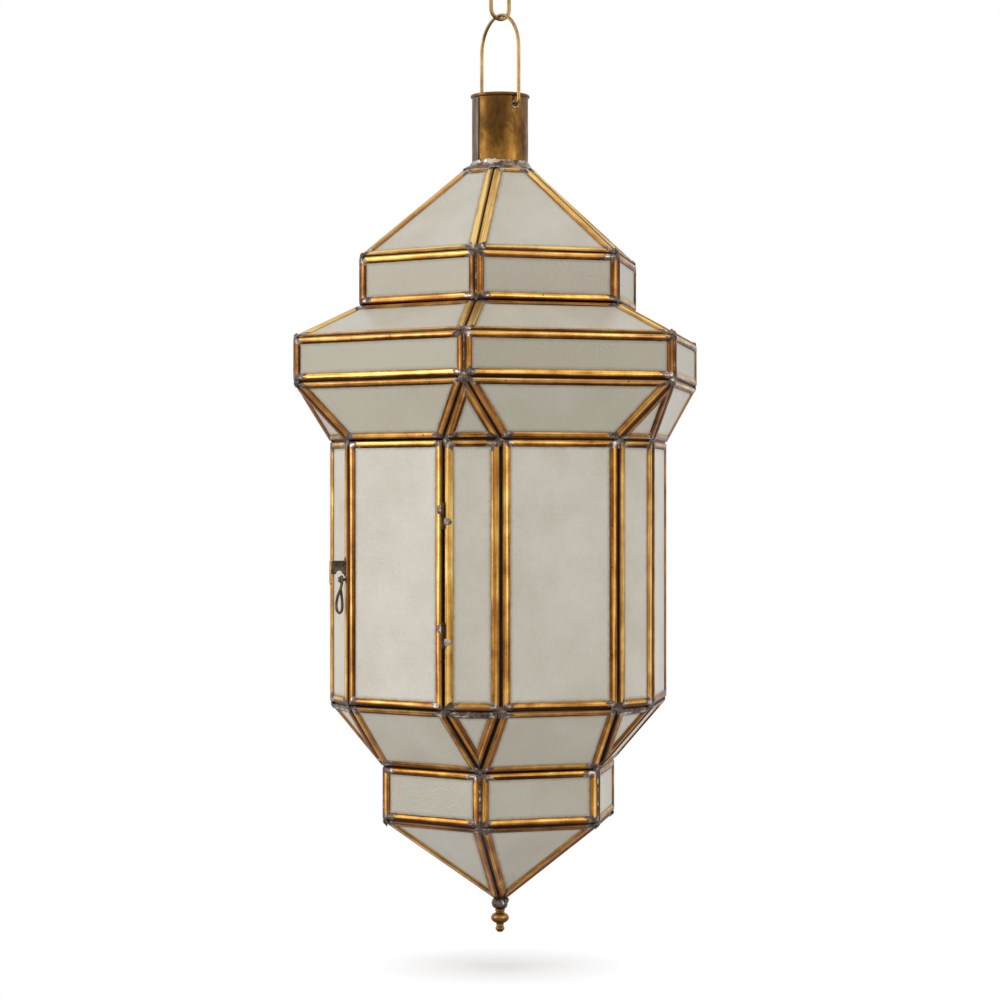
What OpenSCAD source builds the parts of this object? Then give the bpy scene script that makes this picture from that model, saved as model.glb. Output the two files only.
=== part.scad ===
// Glazed hexagonal hanging lantern with a side door, on a bail, a short chain and a ceiling hook.
// Z = 0 is the ceiling face and everything hangs below it. Azimuth 0 looks out along -Y, and
// azimuths grow towards +X. Each pane sits in its own channel frame (a came), and the frames
// stand edge to edge round each tier.

/* [Upright body] */
// Width of each of the six narrow upright panes, corner to corner
narrow_w = 49; // [42:1:56]
// Width of each of the six wide upright panes, corner to corner
wide_w = 106; // [98:1:116]
// Height of the upright panes
body_h = 225; // [205:5:260]

/* [Lower tiers] */
// Side of the lower hexagonal band
low_side = 109; // [100:1:116]
// Height of the tier that closes in from the body to the lower band
low_tier_h = 54; // [46:1:62]
// Height of the lower band
low_band_h = 47; // [40:1:56]
// Height of the pointed bottom
point_h = 76; // [66:1:90]

/* [Upper tiers] */
// Height of the tier that opens out from the body to the wide band
shoulder_h = 50; // [44:1:60]
// Side of the wide hexagonal band
wide_band_side = 189; // [178:1:198]
// Height of the wide band
wide_band_h = 39; // [32:1:48]
// Height of the flare between the two upper bands
flare_h = 28; // [24:1:36]
// Side of the upper hexagonal band
top_band_side = 130; // [120:1:140]
// Height of the upper band
top_band_h = 42; // [36:1:50]
// Height of the roof
roof_h = 79; // [68:1:90]
// Side of the hexagonal hole at the top of the roof
roof_hole_side = 33; // [32:0.5:36]

/* [Cames and glass] */
// Face width of a came along the sides of a pane
stile_w = 7; // [6:0.5:8]
// Face width of a came along the top and bottom of a pane
rail_w = 6; // [5:0.5:7]
// Thickness of a came
came_t = 4; // [3.6:0.2:4.6]
// Distance from the corner line of two panes to each came
crease = 1.6; // [1.5:0.1:1.8]
// Chamfer along the outer nose of a came
nose = 1.2; // [0.6:0.1:1.3]
// Brass behind the glass edge, from the nose to the bottom of the slot
web = 1.7; // [1.5:0.1:2]
// Thickness of the glass
glass_t = 2; // [1.6:0.1:2.2]
// Clearance of the glass in its slot, on each face
glass_clear = 0.1; // [0.05:0.05:0.15]
// Gap between two neighbouring cames where they lie closest
came_gap = 0.24; // [0.2:0.02:0.3]

/* [Chimney] */
// Outer diameter of the chimney
chimney_d = 49; // [47:0.5:50]
// Thickness of the chimney sheet
chimney_wall = 1; // [0.8:0.1:1.2]
// Height of the chimney above the roof
chimney_h = 65; // [58:1:75]
// Thickness of the rolled rim
rim_d = 3.4; // [2.8:0.2:3.8]
// Diameter of the two holes for the bail
bail_hole_d = 6; // [5:0.5:7]
// Depth of the wire in those holes below the rim
bail_hole_drop = 9; // [7:0.5:12]
// Azimuth of the lapped seam
seam_az = -39; // [-60:1:-20]
// Width of the solder along the seam
seam_w = 7; // [5:0.5:9]
// Height of the solder collar round the foot of the chimney
collar_h = 10; // [7:0.5:12]
// Reach of the solder collar's foot from the chimney
collar_foot = 8.4; // [7:0.2:9]

/* [Bail, chain and hook] */
// Azimuth of the plane in which the bail stands
bail_az = 42; // [30:1:55]
// Diameter of the bail wire
bail_d = 3; // [2.6:0.1:3.4]
// Height of the bail above its holes
bail_h = 78.5; // [72:0.5:88]
// Half the distance between the bail's legs
bail_r = 29.5; // [29:0.5:33]
// Height of the bail's arch
bail_arch_h = 31; // [30:0.5:40]
// Radius at the top of that arch
bail_top_r = 27; // [22:0.5:28]
// Diameter of the chain wire
link_d = 3.4; // [3:0.1:3.8]
// Outer width of a chain link
link_w = 22; // [20:0.5:25]
// Outer length of a chain link
link_l = 30; // [28:0.5:36]
// Diameter of the ceiling hook's wire
hook_d = 4; // [3.6:0.1:4.6]
// Inside diameter of the ceiling hook
hook_inner = 17; // [15:0.5:20]
// Diameter of the ceiling plate
plate_d = 76; // [70:1:90]
// Thickness of the ceiling plate
plate_t = 4; // [3:0.5:6]
// Diameter of the circle of screw holes
plate_pcd = 52; // [46:1:58]
// Diameter of each screw hole
screw_hole_d = 4.5; // [4:0.1:5.5]

/* [Door and latch] */
// Clearance round the door
door_gap = 0.35; // [0.3:0.05:0.45]
// Diameter of the hinge knuckles, which lie between two cames
knuckle_d = 2.6; // [2.2:0.1:2.7]
// Length of one hinge knuckle
knuckle_l = 10; // [8:0.5:14]
// Diameter of the hinge pins
hinge_pin_d = 1.2; // [1:0.1:1.4]
// Height of each hinge from the nearer end of the door
hinge_inset = 63; // [45:1:80]
// Thickness of the latch bracket
bracket_t = 1.6; // [1.2:0.1:2]
// Reach of the latch bracket from the came
bracket_reach = 12.8; // [12:0.2:15]
// Height of the bracket's arm
bracket_h = 11.5; // [9:0.5:14]
// Height of the latch pivot above the foot of the body
latch_y = 107.5; // [95:0.5:120]
// Diameter of the latch wire
latch_d = 2.2; // [1.8:0.1:2.4]
// Length of the latch hook from its pivot
latch_l = 30; // [26:0.5:36]
// Outer width of the finger loop
latch_loop_w = 8; // [7.5:0.25:8.5]
// Diameter of the latch rivet
rivet_d = 2.4; // [2:0.1:2.6]

/* [Finial] */
// Diameter of the finial's ball
ball_d = 16; // [14:0.5:18]
// Height of the finial
finial_h = 20.5; // [18:0.5:24]
// Diameter of the solder cap under the point
cap_d = 17; // [15:0.5:19]

/* [Lampholder and bulb] */
// Diameter of the lampholder
holder_d = 38; // [36:0.5:40]
// Length of the lampholder's shell
holder_l = 36; // [32:1:42]
// Diameter of the threaded tube that carries the holder
tube_d = 10; // [9:0.5:11]
// Diameter of the bulb
bulb_d = 60; // [54:1:64]

/* [Hidden] */

// Fineness of round bodies
$fn = 48;
// Play between round parts that are fixed together
fit = 0.1;
// Play between a wire and the wire it hangs on
hang = 0.15;
// Overrun of a cut past the body it cuts
over = 1;

brass = "#B58A45";
old_brass = "#8A6A3C";
wire_brass = "#9C7A4A";
solder = "#8C877C";
milk_glass = "#D3CDBF";
steel = "#A8A8A8";
porcelain = "#E8E4DA";
bulb_white = "#F4F1E8";

// Twelve-sided body: half the angle of a narrow face, and the radius of the corners
half_narrow = atan2(narrow_w * sin(30), wide_w + narrow_w * cos(30));
body_r = narrow_w / 2 / sin(half_narrow);
narrow_apo = body_r * cos(half_narrow);
wide_apo = body_r * cos(30 - half_narrow);

// Heights from the ceiling down
hook_r = (hook_inner + hook_d) / 2;
locknut_h = 5;
hook_neck = 5;
hook_centre_z = -plate_t - locknut_h - hook_neck - hook_r;
hook_low_z = hook_centre_z - hook_r;
link_r = (link_w - link_d) / 2;
link_straight = link_l - link_w;
upper_link_z = hook_low_z + (hook_d + link_d) / 2 + hang - link_r - link_straight / 2;
upper_link_low_z = upper_link_z - link_r - link_straight / 2;
lower_link_z = upper_link_low_z + link_d + hang - link_r - link_straight / 2;
lower_link_low_z = lower_link_z - link_r - link_straight / 2;
bail_top_z = lower_link_low_z + (link_d + bail_d) / 2 + hang;
bail_hole_z = bail_top_z - bail_h;
rim_z = bail_hole_z + bail_hole_drop;
roof_top_z = rim_z - chimney_h;
roof_low_z = roof_top_z - roof_h;
top_band_low_z = roof_low_z - top_band_h;
flare_low_z = top_band_low_z - flare_h;
wide_band_low_z = flare_low_z - wide_band_h;
body_top_z = wide_band_low_z - shoulder_h;
body_low_z = body_top_z - body_h;
low_tier_low_z = body_low_z - low_tier_h;
low_band_low_z = low_tier_low_z - low_band_h;
point_z = low_band_low_z - point_h;

// The door is the wide pane to the left of azimuth 0, and the latch is on the next narrow pane
door_az = -30;
latch_az = -60;
hinge_az = door_az + 30 - half_narrow;

// A tier is [top height, bottom height, top distance from the axis, bottom distance, top width,
// bottom width, azimuth of its first face]. A hexagon of side a lies a * cos(30) from the axis.
function hex_tier(top_z, low_z, top_side, low_side) =
  [top_z, low_z, top_side * cos(30), low_side * cos(30), top_side, low_side, 30];
roof = hex_tier(roof_top_z, roof_low_z, roof_hole_side, top_band_side);
top_band = hex_tier(roof_low_z, top_band_low_z, top_band_side, top_band_side);
flare = hex_tier(top_band_low_z, flare_low_z, top_band_side, wide_band_side);
wide_band = hex_tier(flare_low_z, wide_band_low_z, wide_band_side, wide_band_side);
shoulder = [wide_band_low_z, body_top_z, wide_band_side * cos(30), wide_apo, wide_band_side, wide_w, 30];
shoulder_triangle = [wide_band_low_z, body_top_z, wide_band_side, narrow_apo, 0, narrow_w, 0];
wide_body = [body_top_z, body_low_z, wide_apo, wide_apo, wide_w, wide_w, 30];
narrow_body = [body_top_z, body_low_z, narrow_apo, narrow_apo, narrow_w, narrow_w, 0];
lower_tier = [body_low_z, low_tier_low_z, wide_apo, low_side * cos(30), wide_w, low_side, 30];
lower_triangle = [body_low_z, low_tier_low_z, narrow_apo, low_side, narrow_w, 0, 0];
lower_band = hex_tier(low_tier_low_z, low_band_low_z, low_side, low_side);
point = [low_band_low_z, point_z, low_side * cos(30), 0, low_side, 0, 30];

// Lean of a tier's faces: positive where they close in towards the top
function lean(t) = atan2(t[3] - t[2], t[0] - t[1]);
// Length of a face down its slope
function slope(t) = norm([t[3] - t[2], t[0] - t[1]]);
// Fold along the level edge between one tier and the tier below it, negative for a hollow edge
function level_fold(upper, lower) = lean(upper) - lean(lower);
// Fold along the sloping edge between two faces that stand turn degrees apart
function side_fold(t, u, turn) = acos(cos(lean(t)) * cos(lean(u)) * cos(turn) + sin(lean(t)) * sin(lean(u)));
// Azimuths of a tier's six faces
function azimuths(t) = [for (k = [0:5]) t[6] + 60 * k];

// A face's outline from its lower left corner, anticlockwise, seen from outside
function outline(t) = concat(
  t[5] > 0 ? [[-t[5] / 2, 0], [t[5] / 2, 0]] : [[0, 0]],
  t[4] > 0 ? [[t[4] / 2, slope(t)], [-t[4] / 2, slope(t)]] : [[0, slope(t)]]
);
// One value for each edge of that outline: bottom, right, top, left
function by_edge(t, low, side, top) = concat(t[5] > 0 ? [low] : [], [side], t[4] > 0 ? [top] : [], [side]);

// Distance from an edge line at which a came starts
function start(fold, gap) = fold > 0 ? crease : gap / 2 / cos(fold / 2);

// An outline drawn in by a distance of its own along each edge
function drawn_in(points, by) = let (n = len(points)) [for (i = [0:n - 1]) let (
  before = points[(i + n - 1) % n],
  here = points[i],
  after = points[(i + 1) % n],
  along_a = (here - before) / norm(here - before),
  along_b = (after - here) / norm(after - here),
  in_a = [-along_a[1], along_a[0]],
  in_b = [-along_b[1], along_b[0]],
  a = by[(i + n - 1) % n],
  b = by[i],
  turn = in_a[0] * in_b[1] - in_a[1] * in_b[0]
) here + [(a * in_b[1] - b * in_a[1]) / turn, (in_a[0] * b - in_b[0] * a) / turn]];

// Section across an edge. A came is chamfered along its nose, and on an outward fold its back runs on
// to half a gap from the plane between the two faces, where neighbouring cames are soldered.
function edge_section(fold, gap, reach) = let (
  nose_at = start(fold, gap),
  limit = gap / 2 / cos(fold / 2),
  bite = (nose_at - limit) / tan(fold / 2)
) concat(
  fold > 0 ? [
    [nose_at + nose, 0],
    [nose_at, -nose],
    if (bite < came_t) [nose_at, -bite],
    [limit + came_t * tan(fold / 2), -came_t]
  ] : [[nose_at, 0], [nose_at, -came_t]],
  [[reach, -came_t], [reach, 0]]
);

// Puts children on a face of a tier: X to the right, Y up the slope, Z outwards
module on_face(t, az) {
  rotate([0, 0, az]) translate([0, -t[3], t[1]]) rotate([90 - lean(t), 0, 0]) children();
}

// Turns children so that their +X points to an azimuth
module toward(az) {
  rotate([0, 0, az - 90]) children();
}

// The part of space on the pane's side of one edge
module edge_side(a, b, fold, gap, reach) {
  translate([a[0], a[1], 0]) rotate([0, 0, atan2(b[1] - a[1], b[0] - a[0])]) translate([-reach, 0, 0])
    rotate([90, 0, 90]) linear_extrude(2 * reach + norm(b - a)) polygon(edge_section(fold, gap, reach));
}

// One channel frame, mitred at its corners, slotted for its glass
module came(t, low, side, top, gap = came_gap) {
  points = outline(t);
  folds = by_edge(t, low, side, top);
  starts = [for (f = folds) start(f, gap)];
  widths = by_edge(t, rail_w, stile_w, rail_w);
  n = len(points);
  reach = slope(t) + max(t[4], t[5]);
  slot_t = glass_t + 2 * glass_clear;
  difference() {
    intersection_for (i = [0:n - 1]) edge_side(points[i], points[(i + 1) % n], folds[i], gap, reach);
    translate([0, 0, -came_t - over]) linear_extrude(came_t + 2 * over)
      polygon(drawn_in(points, starts + widths));
    translate([0, 0, -(came_t + slot_t) / 2]) linear_extrude(slot_t)
      polygon(drawn_in(points, [for (s = starts) s + web]));
  }
}

// The glass of one frame
module pane(t, low, side, top, gap = came_gap) {
  starts = [for (f = by_edge(t, low, side, top)) start(f, gap)];
  translate([0, 0, -(came_t + glass_t) / 2]) linear_extrude(glass_t)
    polygon(drawn_in(outline(t), [for (s = starts) s + web + 2 * glass_clear]));
}

// Folds of each tier: bottom edge, sloping edges, top edge
free_edge = 1;
roof_folds = [level_fold(roof, top_band), side_fold(roof, roof, 60), -free_edge];
top_band_folds = [level_fold(top_band, flare), 60, level_fold(roof, top_band)];
flare_folds = [level_fold(flare, wide_band), side_fold(flare, flare, 60), level_fold(top_band, flare)];
wide_band_folds = [level_fold(wide_band, shoulder), 60, level_fold(flare, wide_band)];
shoulder_side = side_fold(shoulder, shoulder_triangle, 30);
shoulder_folds = [level_fold(shoulder, wide_body), shoulder_side, level_fold(wide_band, shoulder)];
shoulder_triangle_folds = [level_fold(shoulder_triangle, narrow_body), shoulder_side, 0];
wide_folds = [level_fold(wide_body, lower_tier), 30, level_fold(shoulder, wide_body)];
narrow_folds = [level_fold(narrow_body, lower_triangle), 30, level_fold(shoulder_triangle, narrow_body)];
lower_side = side_fold(lower_tier, lower_triangle, 30);
lower_tier_folds = [level_fold(lower_tier, lower_band), lower_side, level_fold(wide_body, lower_tier)];
lower_triangle_folds = [0, lower_side, level_fold(narrow_body, lower_triangle)];
lower_band_folds = [level_fold(lower_band, point), 60, level_fold(lower_tier, lower_band)];
point_folds = [0, side_fold(point, point, 60), level_fold(lower_band, point)];

module came_ring(t, folds, places) {
  color(brass) for (az = places) on_face(t, az) came(t, folds[0], folds[1], folds[2]);
}

// Where triangles run out to a point between two frames, each frame keeps to its own sixth of the ring
module came_ring_in_sixths(t, folds) {
  far = max(t[2], t[3]) + over;
  apart = came_gap / 2 / sin(30);
  color(brass) for (az = azimuths(t)) intersection() {
    on_face(t, az) came(t, folds[0], folds[1], folds[2]);
    translate([0, 0, t[1] - over]) rotate([0, 0, az]) linear_extrude(t[0] - t[1] + 2 * over)
      polygon([[0, -apart], [-far * tan(30), -far - apart], [far * tan(30), -far - apart]]);
  }
}

module pane_ring(t, folds, places) {
  color(milk_glass) for (az = places) on_face(t, az) pane(t, folds[0], folds[1], folds[2]);
}

// The five wide panes that don't open
fixed_wide = [for (k = [0:4]) wide_body[6] + 60 * k];

// A straight run of wire along +Z, with what follows it at its end. Its half turn lines its seam up
// with the outside of a bend.
module run(d, l) {
  rotate([0, 0, 180]) cylinder(d = d, h = l);
  translate([0, 0, l]) children();
}

// A bend of wire from +Z towards +X, with what follows it at its end
module bend(d, r, a) {
  translate([r, 0, 0]) rotate([0, 0, 180]) rotate([90, 0, 0])
    rotate_extrude(angle = a) translate([r, 0]) circle(d = d);
  translate([r - r * cos(a), 0, r * sin(a)]) rotate([0, a, 0]) children();
}

// Ceiling plate with three screw holes and a centre hole for the hook
hook_stud_d = 5;
module ceiling_plate() {
  edge = 1.5;
  color(old_brass) difference() {
    translate([0, 0, -plate_t]) rotate_extrude() polygon([
      [0, 0], [plate_d / 2 - edge, 0], [plate_d / 2, edge], [plate_d / 2, plate_t], [0, plate_t]
    ]);
    for (k = [0:2]) toward(90 + 120 * k) translate([plate_pcd / 2, 0, -plate_t - over])
      cylinder(d = screw_hole_d, h = plate_t + 2 * over);
    translate([0, 0, -plate_t - over]) cylinder(d = hook_stud_d + 2 * fit, h = plate_t + 2 * over);
  }
}

module hook_locknut() {
  locknut_d = 20;
  color(old_brass) translate([0, 0, -plate_t - locknut_h]) difference() {
    rotate_extrude() polygon([
      [0, 0], [locknut_d * 0.32, 0], [locknut_d * 0.42, locknut_h * 0.25], [locknut_d / 2, locknut_h * 0.6],
      [locknut_d / 2, locknut_h], [0, locknut_h]
    ]);
    translate([0, 0, -over]) cylinder(d = hook_stud_d + 2 * fit, h = locknut_h + 2 * over);
  }
}

// Round-bottomed open hook: a stud, a shoulder bend and most of a circle
module ceiling_hook() {
  mouth = 60;
  color(old_brass) toward(bail_az + 90) {
    translate([0, 0, -plate_t - locknut_h - hook_neck])
      cylinder(d = hook_stud_d, h = plate_t + locknut_h + hook_neck);
    translate([0, 0, hook_centre_z]) rotate([90, 0, 0]) rotate([0, 0, 90])
      rotate_extrude(angle = 360 - mouth) translate([hook_r, 0]) circle(d = hook_d);
  }
}

// One closed oval link standing in the XZ plane, centred
module oval_link() {
  for (up = [0, 180]) rotate([0, up, 0]) {
    translate([0, 0, link_straight / 2]) rotate([90, 0, 0])
      rotate_extrude(angle = 180) translate([link_r, 0]) circle(d = link_d);
    translate([link_r, 0, -link_straight / 2]) cylinder(d = link_d, h = link_straight);
  }
}

module upper_chain_link() {
  color(wire_brass) translate([0, 0, upper_link_z]) toward(bail_az) oval_link();
}

module lower_chain_link() {
  color(wire_brass) translate([0, 0, lower_link_z]) toward(bail_az + 90) oval_link();
}

// Bail: a round arch of three arcs, two legs outside the rim, and ends turned in through the chimney's
// holes. A small swelling of the wire at each joint keeps the arcs and runs in one piece.
bail_elbow = 3;
bail_tip = 7;
bail_side_rise = bail_arch_h - bail_top_r;
bail_side_r = (pow(bail_r, 2) + pow(bail_side_rise, 2) - pow(bail_top_r, 2)) / 2 / (bail_r - bail_top_r);
bail_side_sweep = atan2(bail_side_rise, bail_side_r - bail_r);
bail_leg = bail_h - bail_arch_h - bail_elbow;
module wire_joint(d) {
  sphere(d = d * 1.03);
}

module bail() {
  color(wire_brass) translate([0, 0, bail_top_z - bail_arch_h]) toward(bail_az) {
    translate([0, 0, bail_side_rise]) rotate([90, 0, 0]) rotate([0, 0, bail_side_sweep])
      rotate_extrude(angle = 180 - 2 * bail_side_sweep) translate([bail_top_r, 0]) circle(d = bail_d);
    for (side = [0, 180]) rotate([0, 0, side]) {
      translate([bail_r - bail_side_r, 0, 0]) rotate([90, 0, 0]) rotate_extrude(angle = bail_side_sweep)
        translate([bail_side_r, 0]) circle(d = bail_d);
      translate([bail_top_r * cos(bail_side_sweep), 0, bail_side_rise + bail_top_r * sin(bail_side_sweep)])
        wire_joint(bail_d);
      translate([bail_r, 0, 0]) {
        wire_joint(bail_d);
        rotate([0, 180, 0]) run(bail_d, bail_leg) bend(bail_d, bail_elbow, 90)
          run(bail_d, bail_r - bail_elbow - (chimney_d / 2 - chimney_wall - bail_tip));
      }
    }
  }
}

// Chimney: a rolled tube with a beaded rim, let a little way into the roof. It hangs by the tops of its
// two holes.
chimney_sunk = 5;
module chimney() {
  color(old_brass) difference() {
    union() {
      translate([0, 0, roof_top_z - chimney_sunk]) difference() {
        cylinder(d = chimney_d, h = chimney_h + chimney_sunk - rim_d / 2, $fn = 96);
        translate([0, 0, -over])
          cylinder(d = chimney_d - 2 * chimney_wall, h = chimney_h + 2 * chimney_sunk, $fn = 96);
      }
      translate([0, 0, rim_z - rim_d / 2]) rotate_extrude($fn = 96)
        translate([(chimney_d - chimney_wall) / 2 + 0.2, 0]) circle(d = rim_d);
    }
    toward(bail_az) translate([-chimney_d, 0, bail_hole_z - (bail_hole_d - bail_d) / 2 + hang])
      rotate([0, 90, 0]) cylinder(d = bail_hole_d, h = 2 * chimney_d);
  }
}

// Solder run along the lapped seam, between the collar and the rim
seam_t = 0.7;
module chimney_seam() {
  sweep = seam_w / (chimney_d / 2) * 180 / PI;
  color(solder) translate([0, 0, roof_top_z + collar_h + 2 * fit]) rotate([0, 0, seam_az - 90 - sweep])
    rotate_extrude(angle = sweep) translate([chimney_d / 2 + fit, 0])
      square([seam_t, chimney_h - collar_h - rim_d - 4 * fit]);
}

// Solder collar that closes the joint between the chimney and the roof, six-sided at its foot
module solder_collar() {
  inner = chimney_d / 2 + fit;
  color(solder) translate([0, 0, roof_top_z + fit]) intersection() {
    rotate_extrude($fn = 96) polygon([
      [inner, 0], [inner + collar_foot, 0], [inner + collar_foot, collar_h * 0.12],
      [inner + collar_foot * 0.6, collar_h * 0.32], [inner + collar_foot * 0.3, collar_h * 0.66],
      [inner + 0.8, collar_h], [inner, collar_h]
    ]);
    rotate([0, 0, 90]) cylinder(r = roof_hole_side, h = collar_h + over, $fn = 6);
  }
}

// Solder cap over the tips of the point's cames
cap_up = 6.5;
cap_low = 4;
module solder_cap() {
  grip_r = low_side / point_h;
  color(solder) translate([0, 0, point_z]) difference() {
    translate([0, 0, -cap_low]) rotate_extrude() polygon([
      [0, 0], [cap_d * 0.3, 0], [cap_d * 0.45, cap_low * 0.5], [cap_d / 2, cap_low * 1.1],
      [cap_d / 2, cap_low + cap_up * 0.6], [cap_d * 0.44, cap_low + cap_up], [0, cap_low + cap_up]
    ]);
    translate([0, 0, -fit]) cylinder(r1 = 0, r2 = 2 * cap_up * grip_r, h = 2 * cap_up);
  }
}

// Turned finial: collar, flattened ball, neck and knob
module finial() {
  collar_r = 4.5;
  neck_r = 3.1;
  knob_r = 4.3;
  collar_l = finial_h * 0.16;
  ball_l = finial_h * 0.46;
  knob_l = finial_h * 0.25;
  color(brass) translate([0, 0, point_z - cap_low]) {
    translate([0, 0, -collar_l]) cylinder(r = collar_r, h = collar_l);
    translate([0, 0, -collar_l - ball_l]) rotate_extrude() intersection() {
      translate([0, ball_l / 2]) circle(d = ball_d);
      square([ball_d, ball_l]);
    }
    translate([0, 0, -finial_h + knob_l * 0.7])
      cylinder(r = neck_r, h = finial_h - collar_l - ball_l - knob_l * 0.7);
    translate([0, 0, -finial_h]) rotate_extrude() polygon([
      [0, 0], [knob_r * 0.62, 0], [knob_r * 0.92, knob_l * 0.22], [knob_r, knob_l * 0.5],
      [knob_r * 0.9, knob_l * 0.8], [neck_r, knob_l], [0, knob_l]
    ]);
  }
}

// Hinges: two in the crease beside the door, each a knuckle on the frame below one on the door
knuckle_play = 0.3;
hinge_heights = [body_low_z + hinge_inset, body_top_z - hinge_inset];
module knuckle(low_z) {
  translate([0, 0, low_z]) difference() {
    cylinder(d = knuckle_d, h = knuckle_l);
    translate([0, 0, -over]) cylinder(d = hinge_pin_d + fit, h = knuckle_l + 2 * over);
  }
}

module on_hinge() {
  toward(hinge_az) translate([body_r, 0, 0]) children();
}

module frame_knuckles() {
  color(brass) on_hinge() for (z = hinge_heights) knuckle(z - knuckle_l - knuckle_play / 2);
}

module door_knuckles() {
  color(brass) on_hinge() for (z = hinge_heights) knuckle(z + knuckle_play / 2);
}

module hinge_pins() {
  proud = 1.2;
  color(old_brass) on_hinge() for (z = hinge_heights) translate([0, 0, z - knuckle_l - proud])
    cylinder(d = hinge_pin_d, h = 2 * (knuckle_l + proud));
}

// The door's own frame and pane, with more room round them than the fixed ones
module door_cames() {
  color(brass) on_face(wide_body, door_az)
    came(wide_body, wide_folds[0], wide_folds[1], wide_folds[2], 2 * door_gap);
}

module door_pane() {
  color(milk_glass) on_face(wide_body, door_az)
    pane(wide_body, wide_folds[0], wide_folds[1], wide_folds[2], 2 * door_gap);
}

// Latch: a bent bracket soldered to the came beside the door, and a wire hook on a rivet below it
latch_x = narrow_w / 2 - crease - nose - rivet_d / 2 - 0.6;
bracket_low = latch_y + 4.6;
bracket_lip_w = 5;
bracket_lip_drop = 9;
module latch_bracket() {
  notch_r = 3;
  lip_t = 1.4;
  right = latch_x + bracket_t / 2;
  color(old_brass) on_face(narrow_body, latch_az) difference() {
    union() {
      translate([right - bracket_t, bracket_low, 0]) cube([bracket_t, bracket_h, bracket_reach]);
      translate([right - bracket_lip_w, bracket_low - bracket_lip_drop, bracket_reach - lip_t])
        cube([bracket_lip_w, bracket_h + bracket_lip_drop, lip_t]);
    }
    translate([right - bracket_t - over, bracket_low, 5.2]) rotate([0, 90, 0])
      cylinder(r = notch_r, h = bracket_t + 2 * over);
  }
}

eye_r = rivet_d / 2 + 0.3 + latch_d / 2;
eye_out = 3.2;
module latch_rivet() {
  head_h = 1;
  shank = eye_out + latch_d / 2 + 0.4;
  color(old_brass) on_face(narrow_body, latch_az) translate([latch_x, latch_y, 0]) {
    cylinder(d = rivet_d, h = shank);
    translate([0, 0, shank]) cylinder(r = rivet_d / 2 + 1, h = head_h);
  }
}

// Wire hook: an eye round the rivet, a neck, and a finger loop that stands out from the glass
module latch_hook() {
  loop_r = (latch_loop_w - latch_d) / 2;
  loop_out = 1 + latch_loop_w / 2;
  neck_low = latch_l * 0.34;
  loop_top = latch_l * 0.28;
  loop_low = latch_l - latch_d / 2 - loop_r;
  color(wire_brass) on_face(narrow_body, latch_az) translate([latch_x, latch_y, 0]) {
    translate([0, 0, eye_out]) rotate_extrude() translate([eye_r, 0]) circle(d = latch_d);
    translate([0, -neck_low, eye_out]) rotate([-90, 0, 0])
      cylinder(d = latch_d * 0.96, h = neck_low - eye_r);
    translate([0, -loop_top - loop_r, loop_out]) rotate([0, 90, 0])
      rotate_extrude(angle = 180) translate([loop_r, 0]) circle(d = latch_d);
    translate([0, -loop_low, loop_out]) rotate([0, 90, 0])
      rotate([0, 0, 180]) rotate_extrude(angle = 180) translate([loop_r, 0]) circle(d = latch_d);
    for (side = [-1, 1]) translate([0, -loop_low, loop_out + side * loop_r]) rotate([-90, 0, 0])
      cylinder(d = latch_d, h = loop_low - loop_top - loop_r);
  }
}

// Lampholder hung from a strap across the chimney
strap_z = rim_z - 24;
strap_t = 2;
strap_w = 12;
strap_tab = 8;
nut_h = 3;
nut_d = 16;
tube_bore = 7.8;
tube_up = 6;
holder_cap_h = 14;
holder_wall = 1.2;
holder_top_z = strap_z - strap_t - nut_h;
shell_top_z = holder_top_z - holder_cap_h;
shell_low_z = shell_top_z - holder_l;
insert_h = 12;
tube_low_z = shell_top_z + 5;
thread_d = 28;
thread_l = 20;
base_d = 26.4;
base_l = 25;
base_wall = 0.5;
glass_skin = 0.8;

module holder_strap() {
  inner = chimney_d / 2 - chimney_wall - fit;
  color(steel) toward(bail_az + 90) difference() {
    intersection() {
      union() {
        translate([-chimney_d / 2, -strap_w / 2, strap_z - strap_t]) cube([chimney_d, strap_w, strap_t]);
        for (side = [0, 180]) rotate([0, 0, side])
          translate([inner - strap_t, -strap_w / 2, strap_z - strap_tab])
            cube([strap_t * 2, strap_w, strap_tab]);
      }
      translate([0, 0, strap_z - strap_tab - over]) cylinder(r = inner, h = strap_tab + 2 * over, $fn = 96);
    }
    translate([0, 0, strap_z - strap_t - over]) cylinder(d = tube_d + 2 * fit, h = strap_t + 2 * over);
  }
}

module threaded_tube() {
  color(steel) translate([0, 0, tube_low_z]) difference() {
    cylinder(d = tube_d, h = strap_z + nut_h + tube_up - tube_low_z);
    translate([0, 0, -over]) cylinder(d = tube_bore, h = strap_z + nut_h + tube_up - tube_low_z + 2 * over);
  }
}

module strap_nuts() {
  color(steel) for (z = [strap_z, strap_z - strap_t - nut_h]) translate([0, 0, z]) difference() {
    cylinder(d = nut_d, h = nut_h, $fn = 6);
    translate([0, 0, -over]) cylinder(d = tube_d + 2 * fit, h = nut_h + 2 * over);
  }
}

// Bush on top of the tube, where a supply cord would enter
module cord_bush() {
  lip_h = 2.5;
  sleeve = 4;
  bore = 6.2;
  color(porcelain) translate([0, 0, strap_z + nut_h + tube_up]) difference() {
    union() {
      cylinder(d = tube_d + 3, h = lip_h);
      translate([0, 0, -sleeve]) cylinder(d = tube_bore - 2 * fit, h = sleeve);
    }
    translate([0, 0, -sleeve - over]) cylinder(d = bore, h = sleeve + lip_h + 2 * over);
  }
}

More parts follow.
